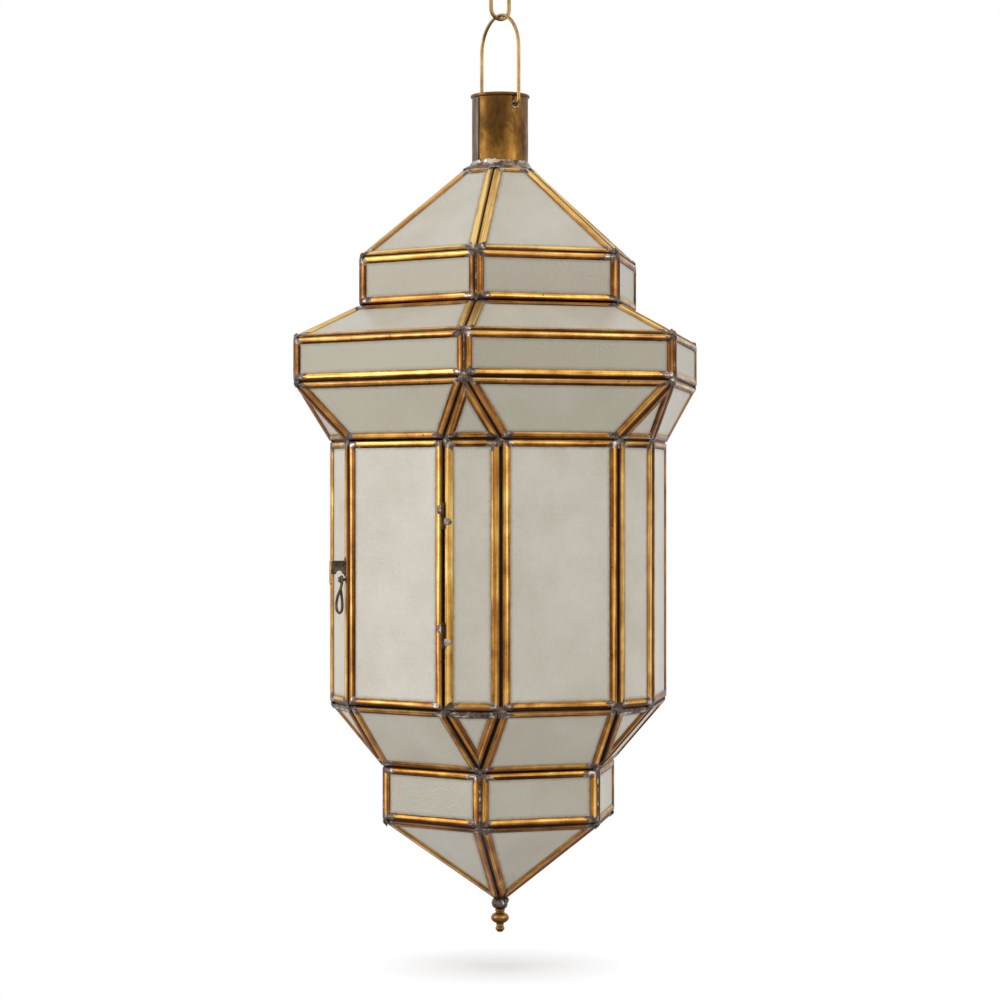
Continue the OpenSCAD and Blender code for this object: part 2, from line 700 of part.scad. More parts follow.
module lampholder_cap() {
  r = holder_d / 2;
  color(old_brass) translate([0, 0, shell_top_z]) difference() {
    rotate_extrude() polygon([
      [0, 0], [r, 0], [r, holder_cap_h * 0.3], [r * 0.86, holder_cap_h * 0.62],
      [r * 0.5, holder_cap_h * 0.9], [r * 0.42, holder_cap_h], [0, holder_cap_h]
    ]);
    rotate_extrude() polygon([
      [0, -over], [r - holder_wall, -over], [r - holder_wall, holder_cap_h * 0.24],
      [r * 0.8, holder_cap_h * 0.5], [0, holder_cap_h * 0.62]
    ]);
    cylinder(d = tube_d + 2 * fit, h = holder_cap_h + over);
  }
}

module lampholder_shell() {
  color(old_brass) translate([0, 0, shell_low_z]) difference() {
    cylinder(d = holder_d, h = holder_l);
    translate([0, 0, -over]) cylinder(d = holder_d - 2 * holder_wall, h = holder_l + 2 * over);
  }
}

// Porcelain insert in the shell, with the threaded sleeve hanging from it
module socket_insert() {
  foot_h = 2;
  color(porcelain) translate([0, 0, shell_top_z - insert_h]) difference() {
    cylinder(d = holder_d - 2 * holder_wall - 2 * fit, h = insert_h);
    translate([0, 0, insert_h - foot_h]) cylinder(d = thread_d * 0.6, h = foot_h + over);
  }
}

module socket_thread() {
  thread_wall = 0.6;
  color(brass) translate([0, 0, shell_top_z - insert_h - thread_l]) difference() {
    cylinder(d = thread_d, h = thread_l);
    translate([0, 0, -over]) cylinder(d = thread_d - 2 * thread_wall, h = thread_l + 2 * over);
  }
}

// Screw base of the bulb: a thin cup with its contact on an insulating head
module bulb_base() {
  contact_d = 9;
  contact_h = 2;
  head_h = 5;
  top = shell_top_z - insert_h;
  color(steel) difference() {
    union() {
      translate([0, 0, top - contact_h]) cylinder(d = contact_d, h = contact_h);
      translate([0, 0, top - base_l]) cylinder(d = base_d, h = base_l - contact_h);
    }
    translate([0, 0, top - base_l - over])
      cylinder(d = base_d - 2 * base_wall, h = base_l - contact_h - head_h + over);
  }
}

// Pear-shaped glass of the bulb, open at the neck where it meets its base. The neck's cone runs on
// from the ball at its own slope.
module bulb_pear(wall) {
  r = bulb_d / 2;
  neck_l = bulb_d * 0.8;
  meet = 17.5;
  translate([0, 0, -neck_l]) cylinder(r1 = r * cos(meet) - wall, r2 = base_d / 2 - wall, h = neck_l);
  translate([0, 0, -neck_l - r * sin(meet)]) sphere(r = r - wall);
}

module bulb_glass() {
  color(bulb_white) translate([0, 0, shell_top_z - insert_h - base_l]) difference() {
    bulb_pear(0);
    bulb_pear(glass_skin);
    translate([0, 0, -over]) cylinder(r = base_d / 2 - glass_skin, h = 2 * over);
  }
}

module roof_cames() { came_ring(roof, roof_folds, azimuths(roof)); }
module roof_panes() { pane_ring(roof, roof_folds, azimuths(roof)); }
module top_band_cames() { came_ring(top_band, top_band_folds, azimuths(top_band)); }
module top_band_panes() { pane_ring(top_band, top_band_folds, azimuths(top_band)); }
module flare_cames() { came_ring(flare, flare_folds, azimuths(flare)); }
module flare_panes() { pane_ring(flare, flare_folds, azimuths(flare)); }
module wide_band_cames() { came_ring(wide_band, wide_band_folds, azimuths(wide_band)); }
module wide_band_panes() { pane_ring(wide_band, wide_band_folds, azimuths(wide_band)); }
module shoulder_cames() { came_ring_in_sixths(shoulder, shoulder_folds); }
module shoulder_panes() { pane_ring(shoulder, shoulder_folds, azimuths(shoulder)); }
module shoulder_triangle_cames() {
  came_ring(shoulder_triangle, shoulder_triangle_folds, azimuths(shoulder_triangle));
}
module shoulder_triangle_panes() {
  pane_ring(shoulder_triangle, shoulder_triangle_folds, azimuths(shoulder_triangle));
}
module wide_body_cames() { came_ring(wide_body, wide_folds, fixed_wide); }
module wide_body_panes() { pane_ring(wide_body, wide_folds, fixed_wide); }
module narrow_body_cames() { came_ring(narrow_body, narrow_folds, azimuths(narrow_body)); }
module narrow_body_panes() { pane_ring(narrow_body, narrow_folds, azimuths(narrow_body)); }
module lower_tier_cames() { came_ring_in_sixths(lower_tier, lower_tier_folds); }
module lower_tier_panes() { pane_ring(lower_tier, lower_tier_folds, azimuths(lower_tier)); }
module lower_triangle_cames() { came_ring(lower_triangle, lower_triangle_folds, azimuths(lower_triangle)); }
module lower_triangle_panes() { pane_ring(lower_triangle, lower_triangle_folds, azimuths(lower_triangle)); }
module lower_band_cames() { came_ring(lower_band, lower_band_folds, azimuths(lower_band)); }
module lower_band_panes() { pane_ring(lower_band, lower_band_folds, azimuths(lower_band)); }
module point_cames() { came_ring(point, point_folds, azimuths(point)); }
module point_panes() { pane_ring(point, point_folds, azimuths(point)); }

ceiling_plate();
hook_locknut();
ceiling_hook();
upper_chain_link();
lower_chain_link();
bail();
chimney();
chimney_seam();
solder_collar();
roof_cames();
roof_panes();
top_band_cames();
top_band_panes();
flare_cames();
flare_panes();
wide_band_cames();
wide_band_panes();
shoulder_cames();
shoulder_panes();
shoulder_triangle_cames();
shoulder_triangle_panes();
wide_body_cames();
wide_body_panes();
narrow_body_cames();
narrow_body_panes();
lower_tier_cames();
lower_tier_panes();
lower_triangle_cames();
lower_triangle_panes();
lower_band_cames();
lower_band_panes();
point_cames();
point_panes();
solder_cap();
finial();
frame_knuckles();
hinge_pins();
latch_bracket();
latch_rivet();
holder_strap();
threaded_tube();
strap_nuts();
cord_bush();
lampholder_cap();
lampholder_shell();
socket_insert();
socket_thread();
bulb_base();
bulb_glass();
door_cames();
door_pane();
door_knuckles();
latch_hook();
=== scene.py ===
# %% [markdown]
# # Dressing a glazed brass lantern
#
# The lantern hangs from a ceiling hook by two chain links and a wire bail. Its walls are flat panes of
# milk glass, and each pane sits in its own brass channel, which glaziers call a came. The cames are
# soldered edge to edge. The solid model already says where every part is and how it moves. This
# lesson gives it the look of the real thing: round drawn brass with a brown patina, grey solder that
# has crept over the corners, and glass with a fine hammered skin.
#
# The first cell loads the solid model. Its pieces stay where they are. Some get a better material,
# and others are hidden behind a richer mesh that rides on the same moving body.

# %% Load the solid model
import math
import random
from collections import namedtuple

import bmesh
import bpy
from mathutils import Matrix, Vector, noise


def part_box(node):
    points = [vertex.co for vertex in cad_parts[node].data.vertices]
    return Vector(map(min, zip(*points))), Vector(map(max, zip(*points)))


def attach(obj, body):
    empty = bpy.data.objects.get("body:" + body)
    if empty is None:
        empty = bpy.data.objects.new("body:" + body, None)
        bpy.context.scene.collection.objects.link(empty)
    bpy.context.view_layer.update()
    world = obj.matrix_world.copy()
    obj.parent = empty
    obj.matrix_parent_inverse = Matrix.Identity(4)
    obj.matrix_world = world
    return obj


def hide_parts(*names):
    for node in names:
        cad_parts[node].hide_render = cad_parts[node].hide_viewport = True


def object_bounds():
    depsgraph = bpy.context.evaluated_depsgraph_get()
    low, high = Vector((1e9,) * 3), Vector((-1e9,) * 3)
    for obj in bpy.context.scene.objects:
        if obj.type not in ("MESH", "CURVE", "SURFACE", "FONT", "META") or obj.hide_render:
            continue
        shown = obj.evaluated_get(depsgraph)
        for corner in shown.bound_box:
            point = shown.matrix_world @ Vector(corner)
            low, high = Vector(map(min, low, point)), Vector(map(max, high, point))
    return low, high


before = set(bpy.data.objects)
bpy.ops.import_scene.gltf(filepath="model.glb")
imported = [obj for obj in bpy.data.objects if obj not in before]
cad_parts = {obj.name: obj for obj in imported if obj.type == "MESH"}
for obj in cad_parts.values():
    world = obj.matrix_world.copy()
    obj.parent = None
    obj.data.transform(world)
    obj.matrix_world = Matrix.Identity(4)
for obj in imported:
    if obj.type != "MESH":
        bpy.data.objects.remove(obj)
cad_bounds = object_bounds()

# %% [markdown]
# ## The lantern as a stack of tiers
#
# Every wall of the lantern is a flat face in a ring of six, so a tier can be written as a few numbers:
# its top and bottom height, how far its faces stand from the axis there, and how wide they are. All
# measures below are in millimetres, because a maker thinks in them. They turn into metres only when a
# mesh is made. The heights hang from one real place, the rim of the chimney in the solid model.

# %% Main measures and tiers
MM = 0.001
NARROW_W = 49.0
WIDE_W = 106.0
LOW_SIDE = 109.0
WIDE_BAND_SIDE = 189.0
TOP_BAND_SIDE = 130.0
ROOF_HOLE_SIDE = 33.0
BAND_HEIGHTS = (65.0, 79.0, 42.0, 28.0, 39.0, 50.0, 225.0, 54.0, 47.0, 76.0)
COS_30 = math.cos(math.radians(30))

rim_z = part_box("chimney")[1].z / MM
levels = [rim_z]
for band_height in BAND_HEIGHTS:
    levels.append(levels[-1] - band_height)
(rim_z, roof_z, band_top_z, band_low_z, wide_top_z, wide_low_z,
 body_top_z, body_low_z, low_band_top_z, low_band_low_z, point_z) = levels

half_narrow = math.atan2(NARROW_W * 0.5, WIDE_W + NARROW_W * COS_30)
body_radius = NARROW_W / 2 / math.sin(half_narrow)
narrow_out = body_radius * math.cos(half_narrow)
wide_out = body_radius * math.cos(math.radians(30) - half_narrow)

Tier = namedtuple("Tier", "top_z low_z top_out low_out top_w low_w first")


def hexagon_tier(top_z, low_z, top_side, low_side):
    return Tier(top_z, low_z, top_side * COS_30, low_side * COS_30, top_side, low_side, 30)


tiers = {
    "roof": hexagon_tier(roof_z, band_top_z, ROOF_HOLE_SIDE, TOP_BAND_SIDE),
    "top_band": hexagon_tier(band_top_z, band_low_z, TOP_BAND_SIDE, TOP_BAND_SIDE),
    "flare": hexagon_tier(band_low_z, wide_top_z, TOP_BAND_SIDE, WIDE_BAND_SIDE),
    "wide_band": hexagon_tier(wide_top_z, wide_low_z, WIDE_BAND_SIDE, WIDE_BAND_SIDE),
    "shoulder": Tier(wide_low_z, body_top_z, WIDE_BAND_SIDE * COS_30, wide_out, WIDE_BAND_SIDE, WIDE_W, 30),
    "shoulder_triangle": Tier(wide_low_z, body_top_z, WIDE_BAND_SIDE, narrow_out, 0, NARROW_W, 0),
    "wide_body": Tier(body_top_z, body_low_z, wide_out, wide_out, WIDE_W, WIDE_W, 30),
    "narrow_body": Tier(body_top_z, body_low_z, narrow_out, narrow_out, NARROW_W, NARROW_W, 0),
    "lower_tier": Tier(body_low_z, low_band_top_z, wide_out, LOW_SIDE * COS_30, WIDE_W, LOW_SIDE, 30),
    "lower_triangle": Tier(body_low_z, low_band_top_z, narrow_out, LOW_SIDE, NARROW_W, 0, 0),
    "lower_band": hexagon_tier(low_band_top_z, low_band_low_z, LOW_SIDE, LOW_SIDE),
    "point": Tier(low_band_low_z, point_z, LOW_SIDE * COS_30, 0, LOW_SIDE, 0, 30),
}
print("tiers:", len(tiers), "from", round(roof_z), "to", round(point_z), "mm below the ceiling")

# %% [markdown]
# ## How the faces meet
#
# Where two faces meet they form a fold, and the fold decides how the two cames lie: on an outward fold
# they stand apart with a dark groove between them, and in a hollow one they nearly touch. The table says
# for each tier what lies above it, beside it, at how many degrees round the axis, and below it. The angle
# of each fold then follows from the lean of the two faces, so nothing has to be measured by hand.

# %% Leans and folds
DOOR_AZIMUTH = -30
LATCH_AZIMUTH = -60


def lean(tier):
    return math.atan2(tier.low_out - tier.top_out, tier.top_z - tier.low_z)


def slope(tier):
    return math.hypot(tier.low_out - tier.top_out, tier.top_z - tier.low_z)


def level_fold(upper, lower):
    """The fold along a level edge. One with no tier beyond it counts as hollow."""
    return lean(tiers[upper]) - lean(tiers[lower]) if upper and lower else HOLLOW


def side_fold(one, other, turn):
    a = lean(tiers[one])
    b = lean(tiers[other])
    along = math.cos(a) * math.cos(b) * math.cos(math.radians(turn)) + math.sin(a) * math.sin(b)
    return math.acos(along)


HOLLOW = -1.0
NEIGHBOURS = {
    "roof": (None, "roof", 60, "top_band"),
    "top_band": ("roof", "top_band", 60, "flare"),
    "flare": ("top_band", "flare", 60, "wide_band"),
    "wide_band": ("flare", "wide_band", 60, "shoulder"),
    "shoulder": ("wide_band", "shoulder_triangle", 30, "wide_body"),
    "shoulder_triangle": (None, "shoulder", 30, "narrow_body"),
    "wide_body": ("shoulder", "narrow_body", 30, "lower_tier"),
    "narrow_body": ("shoulder_triangle", "wide_body", 30, "lower_triangle"),
    "lower_tier": ("wide_body", "lower_triangle", 30, "lower_band"),
    "lower_triangle": ("narrow_body", "lower_tier", 30, None),
    "lower_band": ("lower_tier", "lower_band", 60, "point"),
    "point": ("lower_band", "point", 60, None),
}
folds = {name: (level_fold(name, below), side_fold(name, beside, turn), level_fold(above, name))
         for name, (above, beside, turn, below) in NEIGHBOURS.items()}
print("fold along the roof's edge:", round(math.degrees(folds["roof"][0])), "degrees")

# %% Outlines of the faces


def azimuths(tier):
    return [tier.first + 60 * k for k in range(6)]


def face_matrix(tier, azimuth):
    """From a face's own axes, X right, Y up the slope and Z outwards, to the lantern's."""
    turn = Matrix.Rotation(math.radians(azimuth), 4, "Z")
    shift = Matrix.Translation((0, -tier.low_out, tier.low_z))
    return turn @ shift @ Matrix.Rotation(math.pi / 2 - lean(tier), 4, "X")


def outline(tier):
    """The corners of a face in its own axes: low left, low right, top right, top left, or three of them."""
    high = slope(tier)
    low = [(-tier.low_w / 2, 0), (tier.low_w / 2, 0)] if tier.low_w else [(0, 0)]
    top = [(tier.top_w / 2, high), (-tier.top_w / 2, high)] if tier.top_w else [(0, high)]
    return [Vector(p) for p in low + top]


def by_edge(tier, low, side, top):
    """One value for each edge of a face, in the order of its outline."""
    lows = [low] if tier.low_w else []
    tops = [top] if tier.top_w else []
    return lows + [side] + tops + [side]


def inset_corner(points, i, from_edge_before, from_edge_after):
    """The corner of an outline, moved in by one distance from each of its two edges."""
    here = points[i]
    along_a = (here - points[i - 1]).normalized()
    along_b = (points[(i + 1) % len(points)] - here).normalized()
    in_a = Vector((-along_a.y, along_a.x))
    in_b = Vector((-along_b.y, along_b.x))
    turn = in_a.x * in_b.y - in_a.y * in_b.x
    x = (from_edge_before * in_b.y - from_edge_after * in_a.y) / turn
    y = (in_a.x * from_edge_after - in_b.x * from_edge_before) / turn
    return here + Vector((x, y))


print("faces to frame:", sum(len(azimuths(tier)) for tier in tiers.values()))

# %% [markdown]
# ## Camera, light and floor
#
# The photograph is a product picture on white: soft light from both sides, and a faint shadow on the
# ground under the hanging lantern. Its two halves look at the lantern from two sides that are
# 18 degrees apart, so the camera stands between them, level with the middle of the lantern. The white
# comes from what camera, mirror and glass rays see. The light on the lantern is set apart from it, by
# three large lamps and a weaker sky. The floor is clear from its underside, because people look up at a
# hanging lantern.

# %% Camera
CAMERA_AZIMUTH = math.radians(9)
CAMERA_DISTANCE = 2.6
VIEW_TOP = -0.064
VIEW_BOTTOM = -0.936
SENSOR = 36.0

view_middle = (VIEW_TOP + VIEW_BOTTOM) / 2
camera = bpy.data.objects.new("camera", bpy.data.cameras.new("camera"))
camera.data.sensor_width = SENSOR
camera.data.lens = SENSOR * CAMERA_DISTANCE / (VIEW_TOP - VIEW_BOTTOM)
camera.location = (CAMERA_DISTANCE * math.sin(CAMERA_AZIMUTH), -CAMERA_DISTANCE * math.cos(CAMERA_AZIMUTH),
                   view_middle)
camera.rotation_euler = (math.pi / 2, 0, CAMERA_AZIMUTH)
bpy.context.scene.collection.objects.link(camera)
bpy.context.scene.camera = camera
bpy.context.scene.view_settings.view_transform = "Standard"
print("lens:", round(camera.data.lens), "mm")

# %% [markdown]
# ## Helpers for node trees
#
# A material is a tree of nodes, and most nodes here do one sum each. Short helpers make such a node and
# hand back its output, so that a mask reads like a formula. Each takes either a number or the output of
# another node: a number is written into the socket, and an output is linked to it.

# %% Small helpers for node trees


def plug(tree, sockets, values):
    for key, value in values.items():
        if isinstance(value, bpy.types.NodeSocket):
            tree.links.new(value, sockets[key])
        else:
            sockets[key].default_value = value


def add_node(tree, kind, inputs=None, **settings):
    node = tree.nodes.new("ShaderNode" + kind)
    for name, value in settings.items():
        setattr(node, name, value)
    plug(tree, node.inputs, inputs or {})
    return node


def calc(tree, operation, *values, clamp=False):
    node = add_node(tree, "Math", dict(enumerate(values)), operation=operation, use_clamp=clamp)
    return node.outputs[0]


def spread(tree, value, low, high, to_low=0.0, to_high=1.0):
    settings = {"Value": value, "From Min": low, "From Max": high, "To Min": to_low, "To Max": to_high}
    return add_node(tree, "MapRange", settings).outputs[0]


def mix(tree, amount, first, second):
    """A mix of two colours. A colour mix has its two colours at sockets 6 and 7."""
    return add_node(tree, "Mix", {0: amount, 6: first, 7: second}, data_type="RGBA").outputs[2]


def object_place(tree):
    return add_node(tree, "TexCoord").outputs["Object"]


def mask_of(tree, name):
    """A number that the mesh carries on its points. It is nought where the mesh has no such mask."""
    return add_node(tree, "Attribute", attribute_name=name).outputs["Fac"]


def relief_normal(tree, height, strength, depth_mm):
    settings = {"Height": height, "Strength": strength, "Distance": depth_mm * MM}
    return add_node(tree, "Bump", settings).outputs[0]


print("helpers: nodes, sums, ranges, mixes, masks and relief")

# %% Colours and materials


def ramp(tree, value, stops):
    node = add_node(tree, "ValToRGB", {0: value})
    while len(node.color_ramp.elements) < len(stops):
        node.color_ramp.elements.new(0.5)
    for element, (place, colour) in zip(node.color_ramp.elements, stops):
        element.position = place
        element.color = colour
    return node.outputs[0]


def rgb(code):
    """A colour from its hexadecimal screen code, as the linear numbers that a shader works in."""
    parts = [int(code[i:i + 2], 16) / 255 for i in (1, 3, 5)]
    return tuple(p / 12.92 if p < 0.04045 else ((p + 0.055) / 1.055) ** 2.4 for p in parts) + (1,)


def new_material(name):
    material = bpy.data.materials.new(name)
    material.use_nodes = True
    tree = material.node_tree
    return material, tree, tree.nodes["Principled BSDF"]


def seen_rays(tree):
    """One for camera, mirror and glass rays, nought for the rays that carry light between surfaces."""
    path = add_node(tree, "LightPath").outputs
    mirror = calc(tree, "MAXIMUM", path["Is Camera Ray"], path["Is Glossy Ray"])
    return calc(tree, "MAXIMUM", mirror, path["Is Transmission Ray"])


print("helpers: ramps, colours, materials and rays")

# %% Sky and lamps
SKY_FILL = 0.68
WHITE = (1, 1, 1, 1)

world = bpy.data.worlds.new("white_studio")
bpy.context.scene.world = world
world.use_nodes = True
sky = world.node_tree
plug(sky, sky.nodes["Background"].inputs,
     {"Color": WHITE, "Strength": spread(sky, seen_rays(sky), 0.0, 1.0, SKY_FILL, 1.0)})

LANTERN_MIDDLE = Vector((0, 0, -0.45))
# Name, place and size in metres, and power in watts
LAMPS = (
    ("right_window", (2.05, -1.15, 0.35), (1.1, 1.9), 16.0),
    ("left_window", (-2.05, -0.95, 0.0), (1.2, 1.9), 23.0),
    ("top_light", (0.1, -0.5, 1.5), (1.8, 1.8), 6.0),
)
for name, place, size, power in LAMPS:
    light = bpy.data.lights.new(name, "AREA")
    light.shape = "RECTANGLE"
    light.size, light.size_y = size
    light.energy = power
    lamp = bpy.data.objects.new(name, light)
    lamp.location = place
    lamp.rotation_euler = (LANTERN_MIDDLE - Vector(place)).to_track_quat("-Z", "Y").to_euler()
    lamp.visible_camera = False
    bpy.context.scene.collection.objects.link(lamp)
print("lamps:", [row[0] for row in LAMPS])

# %% Floor that fades into the white
FLOOR_DROP = 0.030
FLOOR_SIZE = 6.0
FLOOR_GREY = (0.8, 0.8, 0.8, 1)
FLOOR_LIFT = 0.2
FADE_NEAR = 0.01
FADE_FAR = 0.11

floor_z = cad_bounds[0][2] - FLOOR_DROP
floor_mesh = bpy.data.meshes.new("floor")
half = FLOOR_SIZE / 2
floor_mesh.from_pydata([(-half, -half, floor_z), (half, -half, floor_z), (half, half, floor_z),
                        (-half, half, floor_z)], [], [(0, 1, 2, 3)])
floor = bpy.data.objects.new("floor", floor_mesh)
bpy.context.scene.collection.objects.link(floor)
floor_material, tree, shader = new_material("pale_floor")
plug(tree, shader.inputs, {"Base Color": FLOOR_GREY, "Roughness": 1.0, "Specular IOR Level": 0.0})
flat = add_node(tree, "VectorMath", {0: object_place(tree), 1: (1, 1, 0)}, operation="MULTIPLY").outputs[0]
distance = add_node(tree, "VectorMath", {0: flat}, operation="LENGTH").outputs["Value"]
far = spread(tree, distance, FADE_NEAR, FADE_FAR)
white = add_node(tree, "Emission", {"Color": WHITE, "Strength": 1.0}).outputs[0]
lift = add_node(tree, "Emission", {"Color": WHITE, "Strength": FLOOR_LIFT}).outputs[0]
near_floor = add_node(tree, "AddShader", {0: shader.outputs[0], 1: lift}).outputs[0]
shown = add_node(tree, "MixShader", {0: far, 1: near_floor, 2: white}).outputs[0]
from_above = add_node(tree, "MixShader", {0: seen_rays(tree), 1: shader.outputs[0], 2: shown}).outputs[0]
underside = add_node(tree, "NewGeometry").outputs["Backfacing"]
clear = add_node(tree, "BsdfTransparent").outputs[0]
final = add_node(tree, "MixShader", {0: underside, 1: from_above, 2: clear}).outputs[0]
tree.links.new(final, tree.nodes["Material Output"].inputs["Surface"])
floor_mesh.materials.append(floor_material)
print("floor at", round(floor_z, 3), "m")

# %% [markdown]
# ## Finishes that more than one material shares
#
# Old brass is never one colour. It is golden where hands rub it, orange and brown where it has
# tarnished, and nearly black in the grooves, where shade is painted in. A node group makes that mix once,
# from a place on the surface and a mask of grime and painted shade, and each brass material sets its own
# colours. Solder gets a group too, because it shows on the cames as well as in lumps of its own. A third
# group tells what faces up from what faces down, so that materials can paint a highlight on the upper
# side and shade on the underside. A fourth scatters small dark nicks.

# %% Helpers for node groups


def new_group(name, inputs, outputs):
    tree = bpy.data.node_groups.new(name, "ShaderNodeTree")
    for label, kind, value in inputs:
        socket = tree.interface.new_socket(label, in_out="INPUT", socket_type="NodeSocket" + kind)
        if value is not None:
            socket.default_value = value
    for label, kind in outputs:
        tree.interface.new_socket(label, in_out="OUTPUT", socket_type="NodeSocket" + kind)
    return tree, tree.nodes.new("NodeGroupInput").outputs, tree.nodes.new("NodeGroupOutput").inputs


def use_group(tree, name, inputs):
    node = tree.nodes.new("ShaderNodeGroup")
    node.node_tree = bpy.data.node_groups[name]
    plug(tree, node.inputs, inputs)
    return node.outputs


def grain(tree, place, scale, detail=3.0, rough=0.55):
    """Soft cloudy noise from 0 to 1, centred on a half."""
    settings = {"Vector": place, "Scale": scale, "Detail": detail, "Roughness": rough}
    return add_node(tree, "TexNoise", settings).outputs["Fac"]


print("helpers: groups and grain")

# %% Patina group
# Soft blotches of four tones of one metal, from nearly black to rubbed bright, and painted shade with some
# grime on top
tree, given, out = new_group(
    "patina",
    [("Place", "Vector", None), ("Blotches", "Float", 60.0), ("Strength", "Float", 1.0),
     ("Shift", "Float", 0.0), ("Rubbed", "Color", rgb("#F0CE84")), ("Bright", "Color", rgb("#C8923A")),
     ("Middle", "Color", rgb("#8A5420")), ("Dark", "Color", rgb("#3B1E07")), ("Grime and shade", "Float", 0.0)],
    [("Color", "Color"), ("Roughness", "Float"), ("Height", "Float")])
large = grain(tree, given["Place"], given["Blotches"], 4.0)
small = grain(tree, given["Place"], calc(tree, "MULTIPLY", given["Blotches"], 7.0), 5.0, 0.65)
cloud = calc(tree, "MULTIPLY_ADD", small, 0.3, calc(tree, "MULTIPLY", large, 0.7))
swing = calc(tree, "MULTIPLY", spread(tree, cloud, 0.34, 0.66, -0.5, 0.5), given["Strength"])
level = calc(tree, "ADD", calc(tree, "ADD", swing, 0.5), given["Shift"])
tone = mix(tree, spread(tree, level, 0.0, 0.4), given["Dark"], given["Middle"])
tone = mix(tree, spread(tree, level, 0.35, 0.7), tone, given["Bright"])
tone = mix(tree, spread(tree, level, 0.7, 1.05), tone, given["Rubbed"])
rough = spread(tree, level, 0.0, 1.0, 0.5, 0.31)
# The grime mask mixes in near black: mostly painted shade in grooves and behind, with some grime
plug(tree, out, {"Color": mix(tree, given["Grime and shade"], tone, rgb("#1E1107")),
                 "Roughness": calc(tree, "MULTIPLY_ADD", given["Grime and shade"], 0.3, rough), "Height": small})
print("patina takes:", list(given.keys()))

# %% Solder group
# A dark grey film, browner and paler where Pale asks for it, with silver where it ran thick, and silver as
# a painted highlight where Shine asks for it
tree, given, out = new_group(
    "solder_skin",
    [("Place", "Vector", None), ("Shine", "Float", 0.0), ("Lumps", "Float", 170.0), ("Pale", "Float", 0.0)],
    [("Color", "Color"), ("Roughness", "Float"), ("Height", "Float")])
lumps = grain(tree, given["Place"], given["Lumps"], 3.0)
flecks = grain(tree, given["Place"], 620.0, 4.0, 0.65)
amount = calc(tree, "MULTIPLY_ADD", flecks, 0.25, calc(tree, "MULTIPLY", lumps, 0.75))
thick = spread(tree, amount, 0.36, 0.6)
dark_film = mix(tree, thick, rgb("#332822"), rgb("#706055"))
pale_film = mix(tree, thick, rgb("#4A3D2F"), rgb("#8E7E6B"))
film = mix(tree, given["Pale"], dark_film, pale_film)
rubbed = spread(tree, calc(tree, "ADD", amount, given["Shine"]), 0.58, 0.72)
plug(tree, out, {"Color": mix(tree, rubbed, film, rgb("#C2B7AE")),
                 "Roughness": spread(tree, rubbed, 0.0, 1.0, 0.42, 0.28), "Height": amount})
print("solder_skin takes:", list(given.keys()))

# %% Facing and nicks groups
# Facing: how far a surface faces up or down on the hanging lantern, for a painted highlight on what faces
# up and painted shade on what faces down
tree, given, out = new_group("facing", [("Softness", "Float", 0.8)], [("Up", "Float"), ("Down", "Float")])
height = add_node(tree, "SeparateXYZ", {0: add_node(tree, "TexCoord").outputs["Normal"]}).outputs["Z"]
scaled = calc(tree, "DIVIDE", height, given["Softness"])
turned = calc(tree, "MULTIPLY", scaled, -1.0)
plug(tree, out, {"Up": calc(tree, "MAXIMUM", scaled, 0.0, clamp=True),
                 "Down": calc(tree, "MAXIMUM", turned, 0.0, clamp=True)})

# Nicks: sparse dark specks, as if knocked or pitted
tree, given, out = new_group("nicks", [("Place", "Vector", None), ("Scale", "Float", 220.0)],
                             [("Mask", "Float")])
cells = add_node(tree, "TexVoronoi", {"Vector": given["Place"], "Scale": given["Scale"]})
chosen = add_node(tree, "SeparateColor", {0: cells.outputs["Color"]}).outputs["Red"]
spot = spread(tree, cells.outputs["Distance"], 0.1, 0.22, 1.0, 0.0)
plug(tree, out, {"Mask": calc(tree, "MULTIPLY", spot, spread(tree, chosen, 0.9, 0.92))})
print("node groups:", [g.name for g in bpy.data.node_groups])

# %% [markdown]
# ## Brass for the cames
#
# A came is pulled through a die, so its streaks run along its length. The mesh of the cames, made
# further down, therefore carries a value called lie on each face corner: how far along the came, how
# far across it, and which came it is. Noise that is stretched along the first of these gives streaks,
# and the last gives every came a tone of its own. Three masks on the points say where shade is painted
# dark into the groove, by the glass and round the back, with some grime, where solder has crept over the
# ends, and how much painted light brightens or darkens a bar in its place. They are the masks of grime
# and shade, of solder, and of tone.

# %% Came brass
CROWN_LINE = 3.2

came_brass, tree, shader = new_material("came_brass")
lie = add_node(tree, "Attribute", attribute_name="lie").outputs["Vector"]
grime, solder_near, tone = [mask_of(tree, name) for name in ("grime", "solder", "tone")]
place = object_place(tree)
parts = add_node(tree, "SeparateXYZ", {0: lie}).outputs
facing = use_group(tree, "facing", {"Softness": 0.9})
own_tone = add_node(tree, "TexWhiteNoise", {"W": parts["Z"]}, noise_dimensions="1D").outputs["Value"]


def along_came(weights, detail=3.0):
    """Noise drawn out along a came, by a weight for the way along, the way across and the came."""
    drawn = add_node(tree, "VectorMath", {0: lie, 1: weights}, operation="MULTIPLY").outputs[0]
    return grain(tree, drawn, 1.0, detail)


streaks = along_came((0.006, 0.6, 3.7), 2.0)
slow = along_came((0.03, 0.0, 5.1), 2.0)
wander = spread(tree, along_came((0.012, 0.0, 2.9), 1.0), 0.3, 0.7, -0.7, 0.7)
across = calc(tree, "ADD", parts["Y"], wander)
off_crown = calc(tree, "ABSOLUTE", calc(tree, "SUBTRACT", across, CROWN_LINE))
